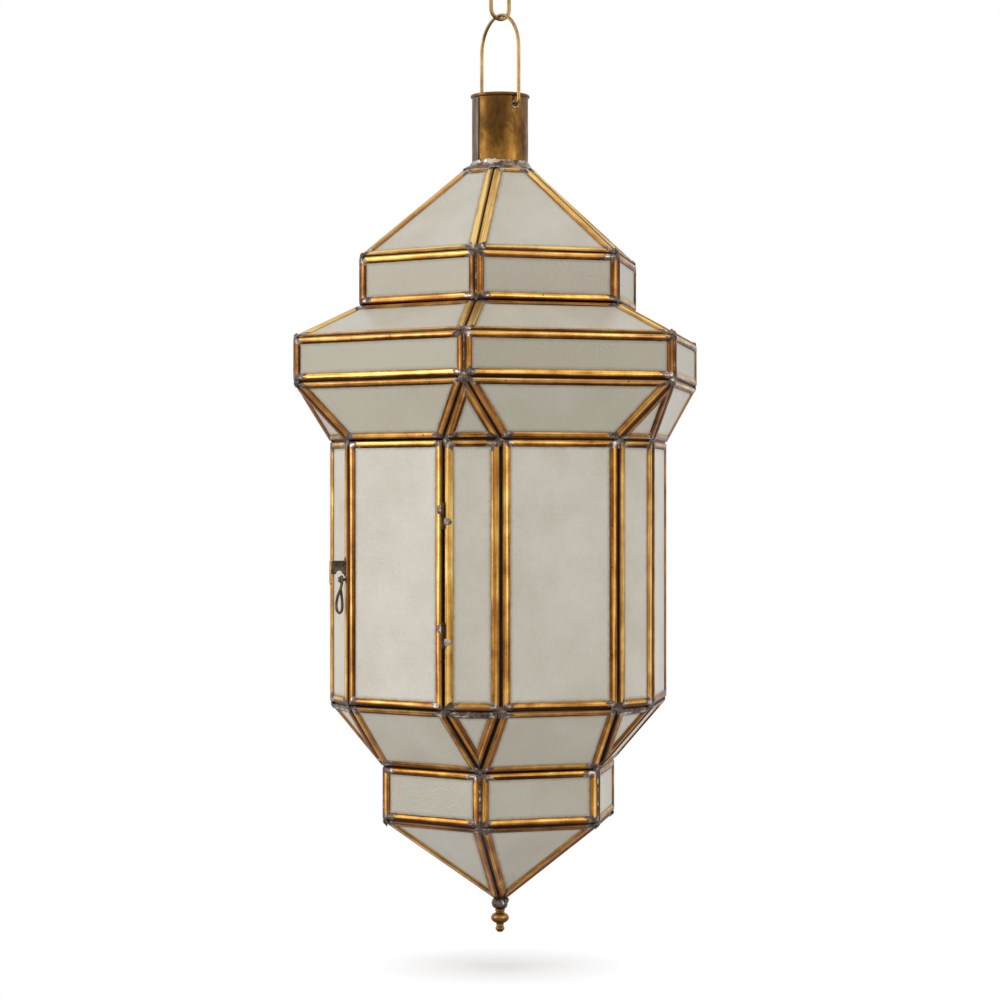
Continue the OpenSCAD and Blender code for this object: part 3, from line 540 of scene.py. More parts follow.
# What brightens or darkens the brass: a painted highlight along its crown, streaks, slow clouds, its own
# tone, a painted highlight where it faces up and painted shade where it faces down, and the painted light
# of the tone mask
tone_parts = (
    spread(tree, off_crown, 0.3, 1.9, 0.17, -0.06),
    spread(tree, streaks, 0.32, 0.68, -0.25, 0.25),
    spread(tree, slow, 0.3, 0.7, -0.12, 0.12),
    spread(tree, own_tone, 0.0, 1.0, -0.14, 0.12),
    calc(tree, "MULTIPLY", facing["Up"], 0.22),
    calc(tree, "MULTIPLY", facing["Down"], -0.34),
    tone,
)
shift = tone_parts[0]
for tone_part in tone_parts[1:]:
    shift = calc(tree, "ADD", shift, tone_part)
patina = use_group(tree, "patina", {
    "Place": place, "Blotches": 60.0, "Strength": 0.3, "Shift": shift, "Grime and shade": grime,
    "Rubbed": rgb("#F0CC74"), "Bright": rgb("#C18C3D"), "Middle": rgb("#855220"), "Dark": rgb("#381D09")})
rosy_streak = spread(tree, along_came((0.004, 0.45, 8.3), 1.0), 0.54, 0.66, 0.0, 0.6)
rosy = mix(tree, rosy_streak, patina["Color"], rgb("#96623F"))
specks = use_group(tree, "nicks", {"Place": place, "Scale": 190.0})["Mask"]
brass_colour = mix(tree, calc(tree, "MULTIPLY", specks, 0.8), rosy, rgb("#1A0E06"))
# Painted highlight: the crest and what faces up turn the solder there silver
crest_highlight = calc(tree, "MULTIPLY_ADD", facing["Up"], 0.05, spread(tree, off_crown, 0.2, 1.2, 0.1, 0.0))
skin = use_group(tree, "solder_skin", {"Place": place, "Shine": crest_highlight})
crept = spread(tree, along_came((0.3, 0.8, 1.3)), 0.3, 0.7, 0.45, 1.55)
soldered = spread(tree, calc(tree, "MULTIPLY", solder_near, crept), 0.36, 0.46)
scratches = along_came((0.1, 4.0, 5.3), 2.0)
relief = calc(tree, "MULTIPLY_ADD", scratches, 0.2, calc(tree, "MULTIPLY", skin["Height"], soldered))
plug(tree, shader.inputs, {
    "Base Color": mix(tree, soldered, brass_colour, skin["Color"]),
    "Roughness": mix(tree, soldered, patina["Roughness"], skin["Roughness"]),
    "Metallic": calc(tree, "SUBTRACT", 0.95, calc(tree, "MULTIPLY", grime, 0.5)),
    "Normal": relief_normal(tree, relief, 0.3, 0.3)})
print("came brass reads: lie, grime, solder, tone")

# %% [markdown]
# ## The other metals
#
# The chimney is rolled from brown sheet, mottled like an old tray, so it uses the patina group with
# large blotches. The wire of the bail and the chain is drawn and rubbed, so it is smoother and paler. The
# same function makes the finial, the latch, the hinges, the grey seam with a painted shadow line along its
# lap, and the solder deep in the grooves, painted nearly black as shade, each from four tones of its own.
# The solder that shows wraps the solder group instead. The zinc plated strap and nuts hide inside the
# chimney, and they get a pale spangled grey.

# %% Metals of four tones


def patina_metal(name, tones, blotches, strength, shift, under, bump_mm, tall=1.0):
    """A metal of four tones. A mask called grime, where a mesh has it, darkens it as painted shade, and one
    called rub brightens it. Under sets how much painted highlight lifts what faces up and painted shade
    darkens what faces down.
    """
    material, tree, shader = new_material(name)
    place = object_place(tree)
    drawn = add_node(tree, "VectorMath", {0: place, 1: (1, 1, 1 / tall)}, operation="MULTIPLY").outputs[0]
    facing = use_group(tree, "facing", {})
    lifted = calc(tree, "MULTIPLY_ADD", mask_of(tree, "rub"), 0.6, shift)
    # Painted highlight on what faces up and painted shade on what faces down, by the amount under
    lifted = calc(tree, "MULTIPLY_ADD", facing["Up"], under * 0.5, lifted)
    lifted = calc(tree, "MULTIPLY_ADD", facing["Down"], -under, lifted)
    rubbed, bright, middle, dark = [rgb(code) for code in tones]
    patina = use_group(tree, "patina", {
        "Place": drawn, "Blotches": blotches, "Strength": strength, "Shift": lifted,
        "Grime and shade": mask_of(tree, "grime"),
        "Rubbed": rubbed, "Bright": bright, "Middle": middle, "Dark": dark})
    specks = use_group(tree, "nicks", {"Place": place})["Mask"]
    plug(tree, shader.inputs, {
        "Base Color": mix(tree, calc(tree, "MULTIPLY", specks, 0.7), patina["Color"], rgb("#20150B")),
        "Roughness": patina["Roughness"], "Metallic": 0.9,
        "Normal": relief_normal(tree, patina["Height"], 0.4, bump_mm)})
    return material


aged_brass = patina_metal("aged_brass", ("#C0954B", "#8A6126", "#5F4018", "#39240C"),
                          34.0, 0.75, -0.02, 0.3, 0.2, tall=1.6)
wire_brass = patina_metal("wire_brass", ("#E6D09C", "#B8935C", "#80613B", "#4B351E"),
                          70.0, 0.5, 0.06, 0.35, 0.1, tall=2.5)
latch_metal = patina_metal("latch_metal", ("#C78C44", "#71644F", "#4C4237", "#221B14"),
                           110.0, 0.7, -0.05, 0.3, 0.15)
finial_brass = patina_metal("finial_brass", ("#D2AA66", "#A07636", "#6E4A24", "#38200C"),
                            80.0, 0.45, 0.04, 0.5, 0.1)
seam_grey = patina_metal("seam_grey", ("#978A7E", "#7C7065", "#5E544B", "#2E2722"),
                         60.0, 0.7, 0.0, 0.2, 0.2, tall=5.0)
# Near black: shade painted onto the solder deep in the grooves
groove_shade_grey = patina_metal("groove_shade_grey", ("#3A2E24", "#2A2019", "#1C1510", "#120D09"),
                           90.0, 0.6, 0.0, 0.2, 0.1)
hinge_brown = patina_metal("hinge_brown", ("#8A6A42", "#5A4128", "#3A2919", "#20160D"),
                           120.0, 0.6, -0.05, 0.3, 0.1)
print("materials so far:", len(bpy.data.materials))

# %% Solder and zinc
SHINE_WEIGHT = 0.14


def solder_material(name, lumps, pale):
    """Solder. A mask called shine, where a mesh has it, brings out the silver: mostly a painted highlight,
    and on the hinge smears the paler silver of the solder itself. What faces up gets a little painted
    highlight, and what faces down painted shade.
    """
    material, tree, shader = new_material(name)
    facing = use_group(tree, "facing", {})
    shine = calc(tree, "MULTIPLY", mask_of(tree, "shine"), SHINE_WEIGHT)
    lit = calc(tree, "MULTIPLY_ADD", facing["Up"], 0.05, shine)
    skin = use_group(tree, "solder_skin",
                     {"Place": object_place(tree), "Shine": lit, "Lumps": lumps, "Pale": pale})
    plug(tree, shader.inputs, {
        "Base Color": mix(tree, calc(tree, "MULTIPLY", facing["Down"], 0.6), skin["Color"], rgb("#2A211C")),
        "Roughness": skin["Roughness"], "Metallic": 0.85,
        "Normal": relief_normal(tree, skin["Height"], 0.5, 0.4)})
    return material


solder_grey = solder_material("solder_grey", 170.0, 0.0)
skirt_grey = solder_material("skirt_grey", 95.0, 0.75)


def two_tones(tree, value, dark, pale):
    return ramp(tree, value, [(0.3, rgb(dark)), (0.7, rgb(pale))])


zinc, tree, shader = new_material("zinc_plate")
place = object_place(tree)
spangle = add_node(tree, "TexVoronoi", {"Vector": place, "Scale": 350.0}).outputs["Distance"]
plug(tree, shader.inputs, {
    "Base Color": two_tones(tree, grain(tree, place, 120.0), "#8E9092", "#B9BABA"),
    "Roughness": spread(tree, spangle, 0.0, 0.6, 0.3, 0.45), "Metallic": 1.0})
print("with solder and zinc:", len(bpy.data.materials))

# %% [markdown]
# ## Milk glass, porcelain and the bulb
#
# The panes are rolled milk glass: warm grey, cloudy, and covered with a fine hammered skin that breaks
# up every reflection, more in some places than in others. Most light scatters back from them and a little
# passes through, so the shader mixes a matt body with some transmission. A shadow of the cames is painted
# along their edges, so the pane meshes carry a mask for each of their edges.

# %% Milk glass
EDGE_MASKS = ("edge_0", "edge_1", "edge_2", "edge_3")


def glass_material(name, pale, deep, second, transmission, hammer_scale, hammer_mm):
    """Cloudy glass. Masks of the edges bring in a painted shadow of the cames, and one called sheet the
    tone of a second sheet.
    """
    material, tree, shader = new_material(name)
    place = object_place(tree)
    edge = 0.0
    for mask in EDGE_MASKS:
        edge = calc(tree, "MAXIMUM", edge, mask_of(tree, mask))
    cloud = grain(tree, place, 22.0, 4.0)
    body = mix(tree, spread(tree, cloud, 0.3, 0.7), rgb(pale), rgb(deep))
    body = mix(tree, mask_of(tree, "sheet"), body, rgb(second))
    speckle = grain(tree, place, 520.0, 3.0, 0.7)
    body = mix(tree, spread(tree, speckle, 0.35, 0.65, 0.0, 0.2), body, rgb("#A39B88"))
    # Painted shadow of the cames: darkest at the edge of the glass and patchy
    fringe = calc(tree, "POWER", calc(tree, "MINIMUM", edge, 1.0), 1.6)
    came_shadow = calc(tree, "MULTIPLY", fringe, spread(tree, grain(tree, place, 150.0), 0.3, 0.7, 0.4, 0.9))
    hammered = add_node(tree, "TexVoronoi", {"Vector": place, "Scale": hammer_scale, "Smoothness": 0.8},
                        feature="SMOOTH_F1").outputs["Distance"]
    relief = calc(tree, "MULTIPLY_ADD", grain(tree, place, hammer_scale * 2.2, 2.0), 0.6, hammered)
    rippled = spread(tree, grain(tree, place, 11.0, 2.0), 0.4, 0.6, 0.3, 1.3)
    plug(tree, shader.inputs, {
        "Base Color": mix(tree, came_shadow, body, rgb("#75663F")), "Transmission Weight": transmission,
        "IOR": 1.5, "Roughness": spread(tree, speckle, 0.3, 0.7, 0.26, 0.42),
        "Normal": relief_normal(tree, calc(tree, "MULTIPLY", relief, rippled), 0.5, hammer_mm)})
    return material


milk_glass = glass_material("milk_glass", "#D8D2C4", "#C9C2B2", "#ABA38D", 0.18, 480.0, 0.32)
bulb_glass = glass_material("bulb_glass", "#F3EFE4", "#ECE7DA", "#ECE7DA", 0.35, 60.0, 0.02)
print("with the glass of panes and bulb:", len(bpy.data.materials))

# %% Porcelain and plastic
porcelain, tree, shader = new_material("porcelain")
place = object_place(tree)
plug(tree, shader.inputs, {
    "Base Color": two_tones(tree, grain(tree, place, 90.0), "#DAD5C8", "#EDEAE2"),
    "Roughness": spread(tree, grain(tree, place, 300.0), 0.3, 0.7, 0.18, 0.3), "Coat Weight": 0.3})

bush_plastic, tree, shader = new_material("bush_plastic")
moulded = grain(tree, object_place(tree), 900.0)
plug(tree, shader.inputs, {
    "Base Color": two_tones(tree, moulded, "#CFCCC3", "#DAD8D0"), "Roughness": 0.5,
    "Normal": relief_normal(tree, moulded, 0.2, 0.1)})
print("all materials:", len(bpy.data.materials))

# %% [markdown]
# ## From a plan to a piece
#
# Most meshes here are worked out point by point. A small plan object gathers the points, the faces and
# the masks of one piece in millimetres, and one helper turns a plan into a Blender object, shades it,
# gives it its material and hangs it on the body it rides on. Points are worked out in code, instead of
# being modelled by hand, because the same came has to fit 72 faces of twelve shapes.

# %% A plan


def compass(angle, radius=1.0, z=0.0):
    """A place by its angle round the axis, which is nought at the front and grows to the right."""
    return Vector((radius * math.sin(angle), -radius * math.cos(angle), z))


class Plan:
    """Points and faces of one piece, in millimetres, with the masks that its material reads."""

    def __init__(self, *masks):
        self.points = []
        self.faces = []
        self.masks = {name: [] for name in masks}
        self.lie = []

    def add(self, point, **values):
        self.points.append(point)
        for name, given in self.masks.items():
            given.append(values.get(name, 0.0))
        return len(self.points) - 1

    def quad_rings(self, one, other):
        """Joins two rings of as many points each by a belt of faces."""
        for k in range(len(one)):
            after = (k + 1) % len(one)
            self.faces.append((one[k], one[after], other[after], other[k]))

    def bridge(self, rows, closed=False):
        """Joins each ring to the next one, and the last to the first where the rows are closed."""
        following = rows[1:] + rows[:1] if closed else rows[1:]
        for one, other in zip(rows, following):
            self.quad_rings(one, other)


UP = Vector((0, 0, 1))
print("a plan holds:", ", ".join(vars(Plan())))

# %% From a plan to a piece
SHARP_EDGE = math.radians(38)


def join_scene(piece, body, slot, *nodes):
    """Puts a new piece in the scene, on its body, in place of the solid nodes that it stands for."""
    bpy.context.scene.collection.objects.link(piece)
    if nodes:
        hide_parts(*nodes)
    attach(piece, body)
    return piece


def build(name, plan, material, body, slot, *nodes, sharp=SHARP_EDGE):
    mesh = bpy.data.meshes.new(name)
    mesh.from_pydata([[c * MM for c in p] for p in plan.points], [], plan.faces)
    for mask, values in plan.masks.items():
        mesh.attributes.new(mask, "FLOAT", "POINT").data.foreach_set("value", values)
    if plan.lie:
        flat = [c for vector in plan.lie for c in vector]
        mesh.attributes.new("lie", "FLOAT_VECTOR", "CORNER").data.foreach_set("vector", flat)
    work = bmesh.new()
    work.from_mesh(mesh)
    bmesh.ops.recalc_face_normals(work, faces=work.faces)
    work.to_mesh(mesh)
    work.free()
    mesh.shade_smooth()
    mesh.set_sharp_from_angle(angle=sharp)
    mesh.materials.append(material)
    piece = join_scene(bpy.data.objects.new(name, mesh), body, slot, *nodes)
    print(f"{name}: {len(mesh.polygons)} faces on {body}")
    return piece


def finish_nodes(material, *nodes):
    """Gives solid nodes, whose shape is right already, their finished material."""
    for node in nodes:
        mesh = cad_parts[node].data
        mesh.materials.clear()
        mesh.materials.append(material)
        mesh.shade_smooth()
        mesh.set_sharp_from_angle(angle=SHARP_EDGE)


print("a fold sharper than", round(math.degrees(SHARP_EDGE)), "degrees keeps its edge")

# %% [markdown]
# ## The cames
#
# Seen from outside, a came is a half-round bar about 6 mm wide. It starts in the groove beside its
# neighbour, rises to a crown and comes down on the glass. Behind, it wraps the edge of the pane. The
# section below is swept round the outline of each pane. At a corner, each line of the section is moved
# in from both edges at once, which makes a true mitre. A little noise along the way keeps the bars
# from looking machined, and the solder mask grows towards the corners, further along some cames than
# others. In the tiers above the body the bars lie closer to the fold. No point goes out further than the
# corners of the wide band in the solid model.

# %% Section of a came
STILE_W = 7.0
RAIL_W = 6.0
CAME_T = 4.0
CREASE = 1.6
UPPER_CREASE = 1.0
UPPER_TIERS = ("roof", "top_band", "flare", "wide_band", "shoulder", "shoulder_triangle")
FURTHEST = WIDE_BAND_SIDE - 1.55
CAME_GAP = 0.24
DOOR_GAP = 0.35
CROWN_AT = 3.0
NOSE_DROP = 1.9
CAME_LIP = 1.5
SLOT_AT = 1.85
SLOT_BACK = 3.07


def came_section():
    """Rows of distance in from the came's outer side, depth, and painted shade with some grime. The first
    row is the back.
    """
    rows = [(None, CAME_T, 1.0)]
    # Painted shade: dark in the groove beside the neighbour and on the lip by the glass, none at the crown,
    # dark round the back
    for angle, grime in ((0, 1.0), (16, 0.9), (32, 0.6), (50, 0.18), (70, 0.02)):
        a = math.radians(angle)
        rows.append((CROWN_AT * (1 - math.cos(a)), NOSE_DROP * (1 - math.sin(a)), grime))
    for angle, grime in ((90, 0.0), (70, 0.0), (50, 0.06), (32, 0.2), (15, 0.45), (0, 0.8)):
        a = math.radians(angle)
        rows.append((CROWN_AT + (STILE_W - CROWN_AT) * math.cos(a), CAME_LIP * (1 - math.sin(a)), grime))
    rows += [(SLOT_AT, CAME_LIP + 0.02, 1.0), (SLOT_AT, SLOT_BACK, 1.0), (STILE_W - 0.1, SLOT_BACK, 0.7),
             (STILE_W - 0.5, 3.8, 0.4), (STILE_W - 1.4, CAME_T, 0.4)]
    return rows


section = came_section()
FRONT_ROWS = range(1, 12)


def crease(name):
    return UPPER_CREASE if name in UPPER_TIERS else CREASE


def came_offsets(name, fold, gap, width):
    """How far each row of the section lies from the edge line of its face."""
    nearest = gap / 2 / math.cos(fold / 2)
    outer = crease(name) if fold > 0 else nearest
    back = nearest + CAME_T * math.tan(fold / 2) if fold > 0 else outer
    return [back if at is None else outer + at * width / STILE_W for at, depth, grime in section]


print("points round a came:", len(section))

# %% Tones and unevenness of the bars
SWAY = 0.13
SWAY_LENGTH = 23.0
# Painted light and shade: how much brighter or darker the low, the side and the top bars of each tier are
BAR_LIGHT = {"roof": (0.06, 0.3, 0.1), "top_band": (0, -0.24, 0.04), "flare": (0.06, 0.22, 0),
         "wide_band": (0, -0.16, 0.06), "shoulder": (0, 0.06, 0), "shoulder_triangle": (0, 0, 0),
         "wide_body": (-0.28, -0.03, 0), "narrow_body": (0, 0.14, 0), "lower_tier": (-0.12, 0.12, 0),
         "lower_triangle": (0, 0.14, 0), "lower_band": (-0.1, -0.04, -0.06), "point": (0, 0.24, -0.06)}


def bar_spot(place, flat, depth, front):
    """A point of a bar. The front is uneven, as a bar drawn and bent by hand is."""
    spot = place @ Vector((flat.x, flat.y, -depth))
    if front:
        sway = SWAY * noise.noise(spot / SWAY_LENGTH)
        spot = place @ Vector((flat.x, flat.y, -depth + min(sway, 0.0) - SWAY / 2))
    pull = min(1.0, FURTHEST / max(1.0, math.hypot(spot.x, spot.y)))
    return Vector((spot.x * pull, spot.y * pull, spot.z))


print("darkest bars:", min(BAR_LIGHT, key=lambda name: min(BAR_LIGHT[name])))

# %% Sweep a came round one pane
STEP = 4.5
LEVEL_REACH = (7.0, 18.0)
UPRIGHT_REACH = (4.0, 8.0)
COATED_TIER = "lower_triangle"
COATING = 0.75
FLANK_W = 1.5
FLANK_LIGHT = 0.18

section_across = [at or 0.0 for at, depth, grime in section]


def add_came(plan, name, azimuth, gap, rng):
    """One came round a pane of the named tier. A level bar gets a painted highlight on its flank that looks
    up and painted shade on the one that looks down.
    """
    tier = tiers[name]
    points = outline(tier)
    place = face_matrix(tier, azimuth)
    edges = by_edge(tier, *zip(folds[name], (RAIL_W, STILE_W, RAIL_W), BAR_LIGHT[name]))
    offsets = [came_offsets(name, fold, gap, width) for fold, width, bar_light in edges]
    corners = [[inset_corner(points, i, one, other) for one, other in zip(offsets[i - 1], offsets[i])]
               for i in range(len(points))]
    rings = []
    for i, (fold, width, bar_light) in enumerate(edges):
        after = (i + 1) % len(points)
        length = (points[after] - points[i]).length
        level = abs(points[after].y - points[i].y) < 1
        top_rail = level and points[i].y > 1
        upward = (-1 if top_rail else 1) if level else 0
        reach = [rng.uniform(*(LEVEL_REACH if level else UPRIGHT_REACH)) for end in range(2)]
        own = rng.uniform(0, 100)
        steps = max(3, round(length / STEP))
        for j in range(steps):
            part = j / steps
            near = max(0.0, 1 - part * length / reach[0], 1 - (1 - part) * length / reach[1])
            solder = COATING if top_rail and name == COATED_TIER else near
            ring = []
            for k, (at, depth, grime) in enumerate(section):
                front = k in FRONT_ROWS
                flank = max(-1.0, min(1.0, (at - CROWN_AT) / FLANK_W)) if front else 0
                spot = bar_spot(place, corners[i][k].lerp(corners[after][k], part), depth, front)
                # Painted highlight on the flank of a level bar that looks up, painted shade on the one that
                # looks down, on top of the bar's painted light
                tone = bar_light + FLANK_LIGHT * flank * upward
                ring.append(plan.add(spot, grime=grime, solder=solder, tone=tone))
            rings.append(ring)
            here, there = part * length, (j + 1) / steps * length
            for a, b in zip(section_across, section_across[1:] + section_across[:1]):
                plan.lie += [(here, a, own), (here, b, own), (there, b, own), (there, a, own)]
    plan.bridge(rings, closed=True)


print("longest reach of the solder:", LEVEL_REACH[1], "mm")

# %% Frames of every tier
CAME_SEED = 41
DOOR_SEED = 7

fixed_places = {name: azimuths(tier) for name, tier in tiers.items()}
fixed_places["wide_body"] = [a for a in azimuths(tiers["wide_body"]) if (a - DOOR_AZIMUTH) % 360]
for number, (name, tier) in enumerate(tiers.items()):
    plan = Plan("grime", "solder", "tone")
    rng = random.Random(CAME_SEED + number)
    for azimuth in fixed_places[name]:
        add_came(plan, name, azimuth, CAME_GAP, rng)
    build("brass_" + name, plan, came_brass, "lantern", "came_brass", name + "_cames")

plan = Plan("grime", "solder", "tone")
add_came(plan, "wide_body", DOOR_AZIMUTH, 2 * DOOR_GAP, random.Random(DOOR_SEED))
build("brass_door", plan, came_brass, "door", "came_brass", "door_cames")

# %% [markdown]
# ## The panes
#
# Rolled glass is not quite flat. Each pane is a slab whose two skins wander by less than a tenth of a
# millimetre, enough to bend the glare a little. The slab is made as a grid between its four corners, or
# its three. Every point knows how far it lies from each came, and the distances become the edge masks, one
# for each side. The mask called sheet says how much of a tier's glass came from a second, darker sheet.

# %% A grid across a pane
CELL = 9.0
# Two points nearer than this are one
SMALLEST = 0.01


def edge_distances(points, spot):
    """How far in from each edge of an outline a spot lies."""
    return [(after - here).normalized().cross(spot - here)
            for here, after in zip(points, points[1:] + points[:1])]


def add_grid(plan, rim, tier, make_point):
    """One skin of a pane: rows of points from its low edge to its top edge, with the faces between."""
    low_left, low_right = rim[:2] if tier.low_w else rim[:1] * 2
    top_right, top_left = rim[-2:] if tier.top_w else rim[-1:] * 2
    across = max(2, round(max(tier.low_w, tier.top_w) / CELL))
    up = max(2, round(slope(tier) / CELL))
    rows = []
    for j in range(up + 1):
        left = low_left.lerp(top_left, j / up)
        right = low_right.lerp(top_right, j / up)
        if (left - right).length < SMALLEST:
            rows.append([make_point(left)] * (across + 1))
        else:
            rows.append([make_point(left.lerp(right, i / across)) for i in range(across + 1)])
    for low, high in zip(rows, rows[1:]):
        for i in range(across):
            corners = [low[i], low[i + 1], high[i + 1], high[i]]
            plan.faces.append(tuple(dict.fromkeys(corners)))
    return rows


print("a pane's grid has cells of about", CELL, "mm")

# %% A pane of glass
GLASS_FRONT = 1.55
GLASS_REAR = 3.0
WEB = 1.7
GLASS_CLEAR = 0.1
WAVE = 0.07
WAVE_LENGTH = 37.0
WAVE_FADE = 12.0
SHADOW_REACH = 3.4
SHEETS = {"roof": 0.1, "top_band": 0.75, "flare": 0.08, "wide_band": 0.95, "shoulder": 0.45,
          "shoulder_triangle": 0.3, "wide_body": 0.0, "narrow_body": 0.0, "lower_tier": 0.3,
          "lower_triangle": 0.1, "lower_band": 0.4, "point": 0.25}


def add_pane(plan, name, azimuth, gap):
    tier = tiers[name]
    points = outline(tier)
    place = face_matrix(tier, azimuth)
    widths = by_edge(tier, RAIL_W, STILE_W, RAIL_W)
    starts = [crease(name) if f > 0 else gap / 2 / math.cos(f / 2) for f in by_edge(tier, *folds[name])]
    hold = [s + WEB + 2 * GLASS_CLEAR for s in starts]
    seen = [s + w for s, w in zip(starts, widths)]
    rim = [inset_corner(points, i, hold[i - 1], hold[i]) for i in range(len(points))]
    window = [inset_corner(points, i, seen[i - 1], seen[i]) for i in range(len(points))]

    def pane_point(flat, depth):
        spot = place @ Vector((flat.x, flat.y, -depth))
        free = min(1.0, min(abs(d) for d in edge_distances(rim, flat)) / WAVE_FADE)
        wave = WAVE * free * noise.noise(spot / WAVE_LENGTH)
        spot = place @ Vector((flat.x, flat.y, -depth + wave))
        masks = {m: 1 - d / SHADOW_REACH for m, d in zip(EDGE_MASKS, edge_distances(window, flat))}
        return plan.add(spot, sheet=SHEETS[name], **masks)

    borders = []
    for depth in (GLASS_FRONT, GLASS_REAR):
        rows = add_grid(plan, rim, tier, lambda flat: pane_point(flat, depth))
        border = rows[0] + [row[-1] for row in rows] + rows[-1][::-1] + [row[0] for row in rows[::-1]]
        borders.append(list(dict.fromkeys(border)))
    plan.bridge(borders)


print("a pane starts", round(WEB + 2 * GLASS_CLEAR, 1), "mm in from the outer side of its came")

# %% Panes of every tier
for name, tier in tiers.items():
    plan = Plan(*EDGE_MASKS, "sheet")
    for azimuth in fixed_places[name]:
        add_pane(plan, name, azimuth, CAME_GAP)
    build("glass_" + name, plan, milk_glass, "lantern", "milk_glass", name + "_panes")

plan = Plan(*EDGE_MASKS, "sheet")
add_pane(plan, "wide_body", DOOR_AZIMUTH, 2 * DOOR_GAP)
build("glass_door", plan, milk_glass, "door", "milk_glass", "door_pane")

# %% [markdown]
# ## Solder at the corners
#
# Four to six cames meet at every corner, and a drop of solder closes the star-shaped hole between
# them. It runs a little way up each groove. A drop is a ball of points whose reach in each direction
# grows wherever a groove leads away from the corner, so every corner gets a star of its own. The upright
# grooves of the bands are filled along their whole length, and deep in every groove lies a run of solder
# painted nearly black, as painted shade. The door stays free: its grooves stay open, and what would lie
# over its face is moved above or below it.

# %% Where the grooves meet
hexagon = [math.radians(60 * k) for k in range(6)]
twelve = [a + side * half_narrow for a in hexagon for side in (-1, 1)]
# Height, radius and angles of each ring of corners, from the top down
RINGS = (
    (roof_z, ROOF_HOLE_SIDE, hexagon), (band_top_z, TOP_BAND_SIDE, hexagon),
    (band_low_z, TOP_BAND_SIDE, hexagon), (wide_top_z, WIDE_BAND_SIDE, hexagon),
    (wide_low_z, WIDE_BAND_SIDE, hexagon), (body_top_z, body_radius, twelve),
    (body_low_z, body_radius, twelve), (low_band_top_z, LOW_SIDE, hexagon),
    (low_band_low_z, LOW_SIDE, hexagon), (point_z, 0.0, hexagon),
)
rings = [[compass(a, radius, z) for a in angles] for z, radius, angles in RINGS]


def across_rings(upper, lower, i):
    """Places in the lower ring that a groove joins to place i of the upper ring."""
    if len(upper) == len(lower):
        return [lower[i]]
    if len(upper) < len(lower):
        return [lower[2 * i], lower[2 * i + 1]]
    return [lower[i // 2]]


def joined_corners(r, i):
    here = rings[r]
    above = rings[r - 1]
    reached = [here[i - 1], here[(i + 1) % len(here)]] + across_rings(here, rings[r + 1], i)
    return reached + [spot for k, spot in enumerate(above) if here[i] in across_rings(above, here, k)]


print("corners:", sum(len(ring) for ring in rings[:-1]), "and the point")

# %% A drop of solder
DROP_RINGS = 12
DROP_STEPS = 24
DROP_CORE = 0.62
DROP_LUMPS = 0.22
ARM_STRENGTH = (0.75, 1.25)


def add_drop(plan, centre, outward, ways, size, flat, rng, sharp=9):
    """A lump with an arm along each way. Outward gets flattened to a part of its size."""
    outward = outward.normalized()
    side = outward.orthogonal().normalized()
    other = outward.cross(side)
    arms = [(way.normalized(), rng.uniform(*ARM_STRENGTH)) for way in ways]
    shift = Vector((rng.uniform(0, 99), rng.uniform(0, 99), rng.uniform(0, 99)))
    rows = []
    for j in range(1, DROP_RINGS):
        tilt = math.pi * j / DROP_RINGS
        row = []
        for i in range(DROP_STEPS):
            turn = 2 * math.pi * i / DROP_STEPS
            round_it = side * math.cos(turn) + other * math.sin(turn)
            way = round_it * math.sin(tilt) + outward * math.cos(tilt)
            reach = size * DROP_CORE
            for arm, strength in arms:
                reach += size * strength * max(0.0, way.dot(arm)) ** sharp
            reach *= 1 + DROP_LUMPS * noise.noise(way * 1.7 + shift)
            spot = way * reach
            spot -= outward * spot.dot(outward) * (1 - flat)
            row.append(plan.add(centre + spot))
        rows.append(row)
    plan.bridge(rows)
    for row, sign in ((rows[0], 1), (rows[-1], -1)):
        tip = plan.add(centre + outward * sign * size * DROP_CORE * flat)
        for i in range(DROP_STEPS):
            plan.faces.append((row[i], row[(i + 1) % DROP_STEPS], tip))


print("faces of a drop:", DROP_RINGS * DROP_STEPS)

# %% Corner drops
SOLDER_SEED = 97
DROP_SIZE = (3.3, 4.3)
DROP_SINK = 2.5
DROP_FLAT = 0.42
CORNER_INSET = 1.7
DOOR_SIDE_CLEAR = 0.2
DOOR_END_CLEAR = 0.25
DOOR_DEPTH = 12.0

door_matrix = face_matrix(tiers["wide_body"], DOOR_AZIMUTH)
to_door = door_matrix.inverted()
door_h = slope(tiers["wide_body"])


def off_door(spot):
    """Moves a spot that would lie over the door above or below it, whichever is nearer."""
    local = to_door @ spot
    level_with_door = -1 < local.y < door_h + 1 and local.z > -DOOR_DEPTH
    if abs(local.x) >= WIDE_W / 2 - DOOR_SIDE_CLEAR or not level_with_door:
        return spot
    local.y = -DOOR_END_CLEAR if local.y < door_h / 2 else door_h + DOOR_END_CLEAR
    return door_matrix @ local


rng = random.Random(SOLDER_SEED)
plan = Plan()
for r in range(1, len(rings) - 1):
    for i, corner in enumerate(rings[r]):
        ways = [spot - corner for spot in joined_corners(r, i)]
        inward = sum((w.normalized() for w in ways), Vector())
        outward = Vector((corner.x, corner.y, 0)).normalized() - 0.5 * inward.normalized()
        first = len(plan.points)
        size = rng.uniform(*DROP_SIZE)
        centre = corner - outward.normalized() * DROP_SINK
        add_drop(plan, centre, outward, ways, size, DROP_FLAT, rng, sharp=14)
        furthest = math.hypot(corner.x, corner.y) - CORNER_INSET
        for p in range(first, len(plan.points)):
            x, y, z = plan.points[p]
            pull = min(1.0, furthest / math.hypot(x, y))
            plan.points[p] = off_door(Vector((x * pull, y * pull, z)))
build("corner_solder", plan, solder_grey, "lantern", "solder")

# %% Solder runs in the upright grooves of the bands
RUN_W = 1.35
RUN_SINK = 2.4
RUN_STEP = 2.5
RUN_SIDES = 8
RUN_ROOT = 1.4
BAND_END = 0.05
BAND_RINGS = ((1, 2), (3, 4), (7, 8))


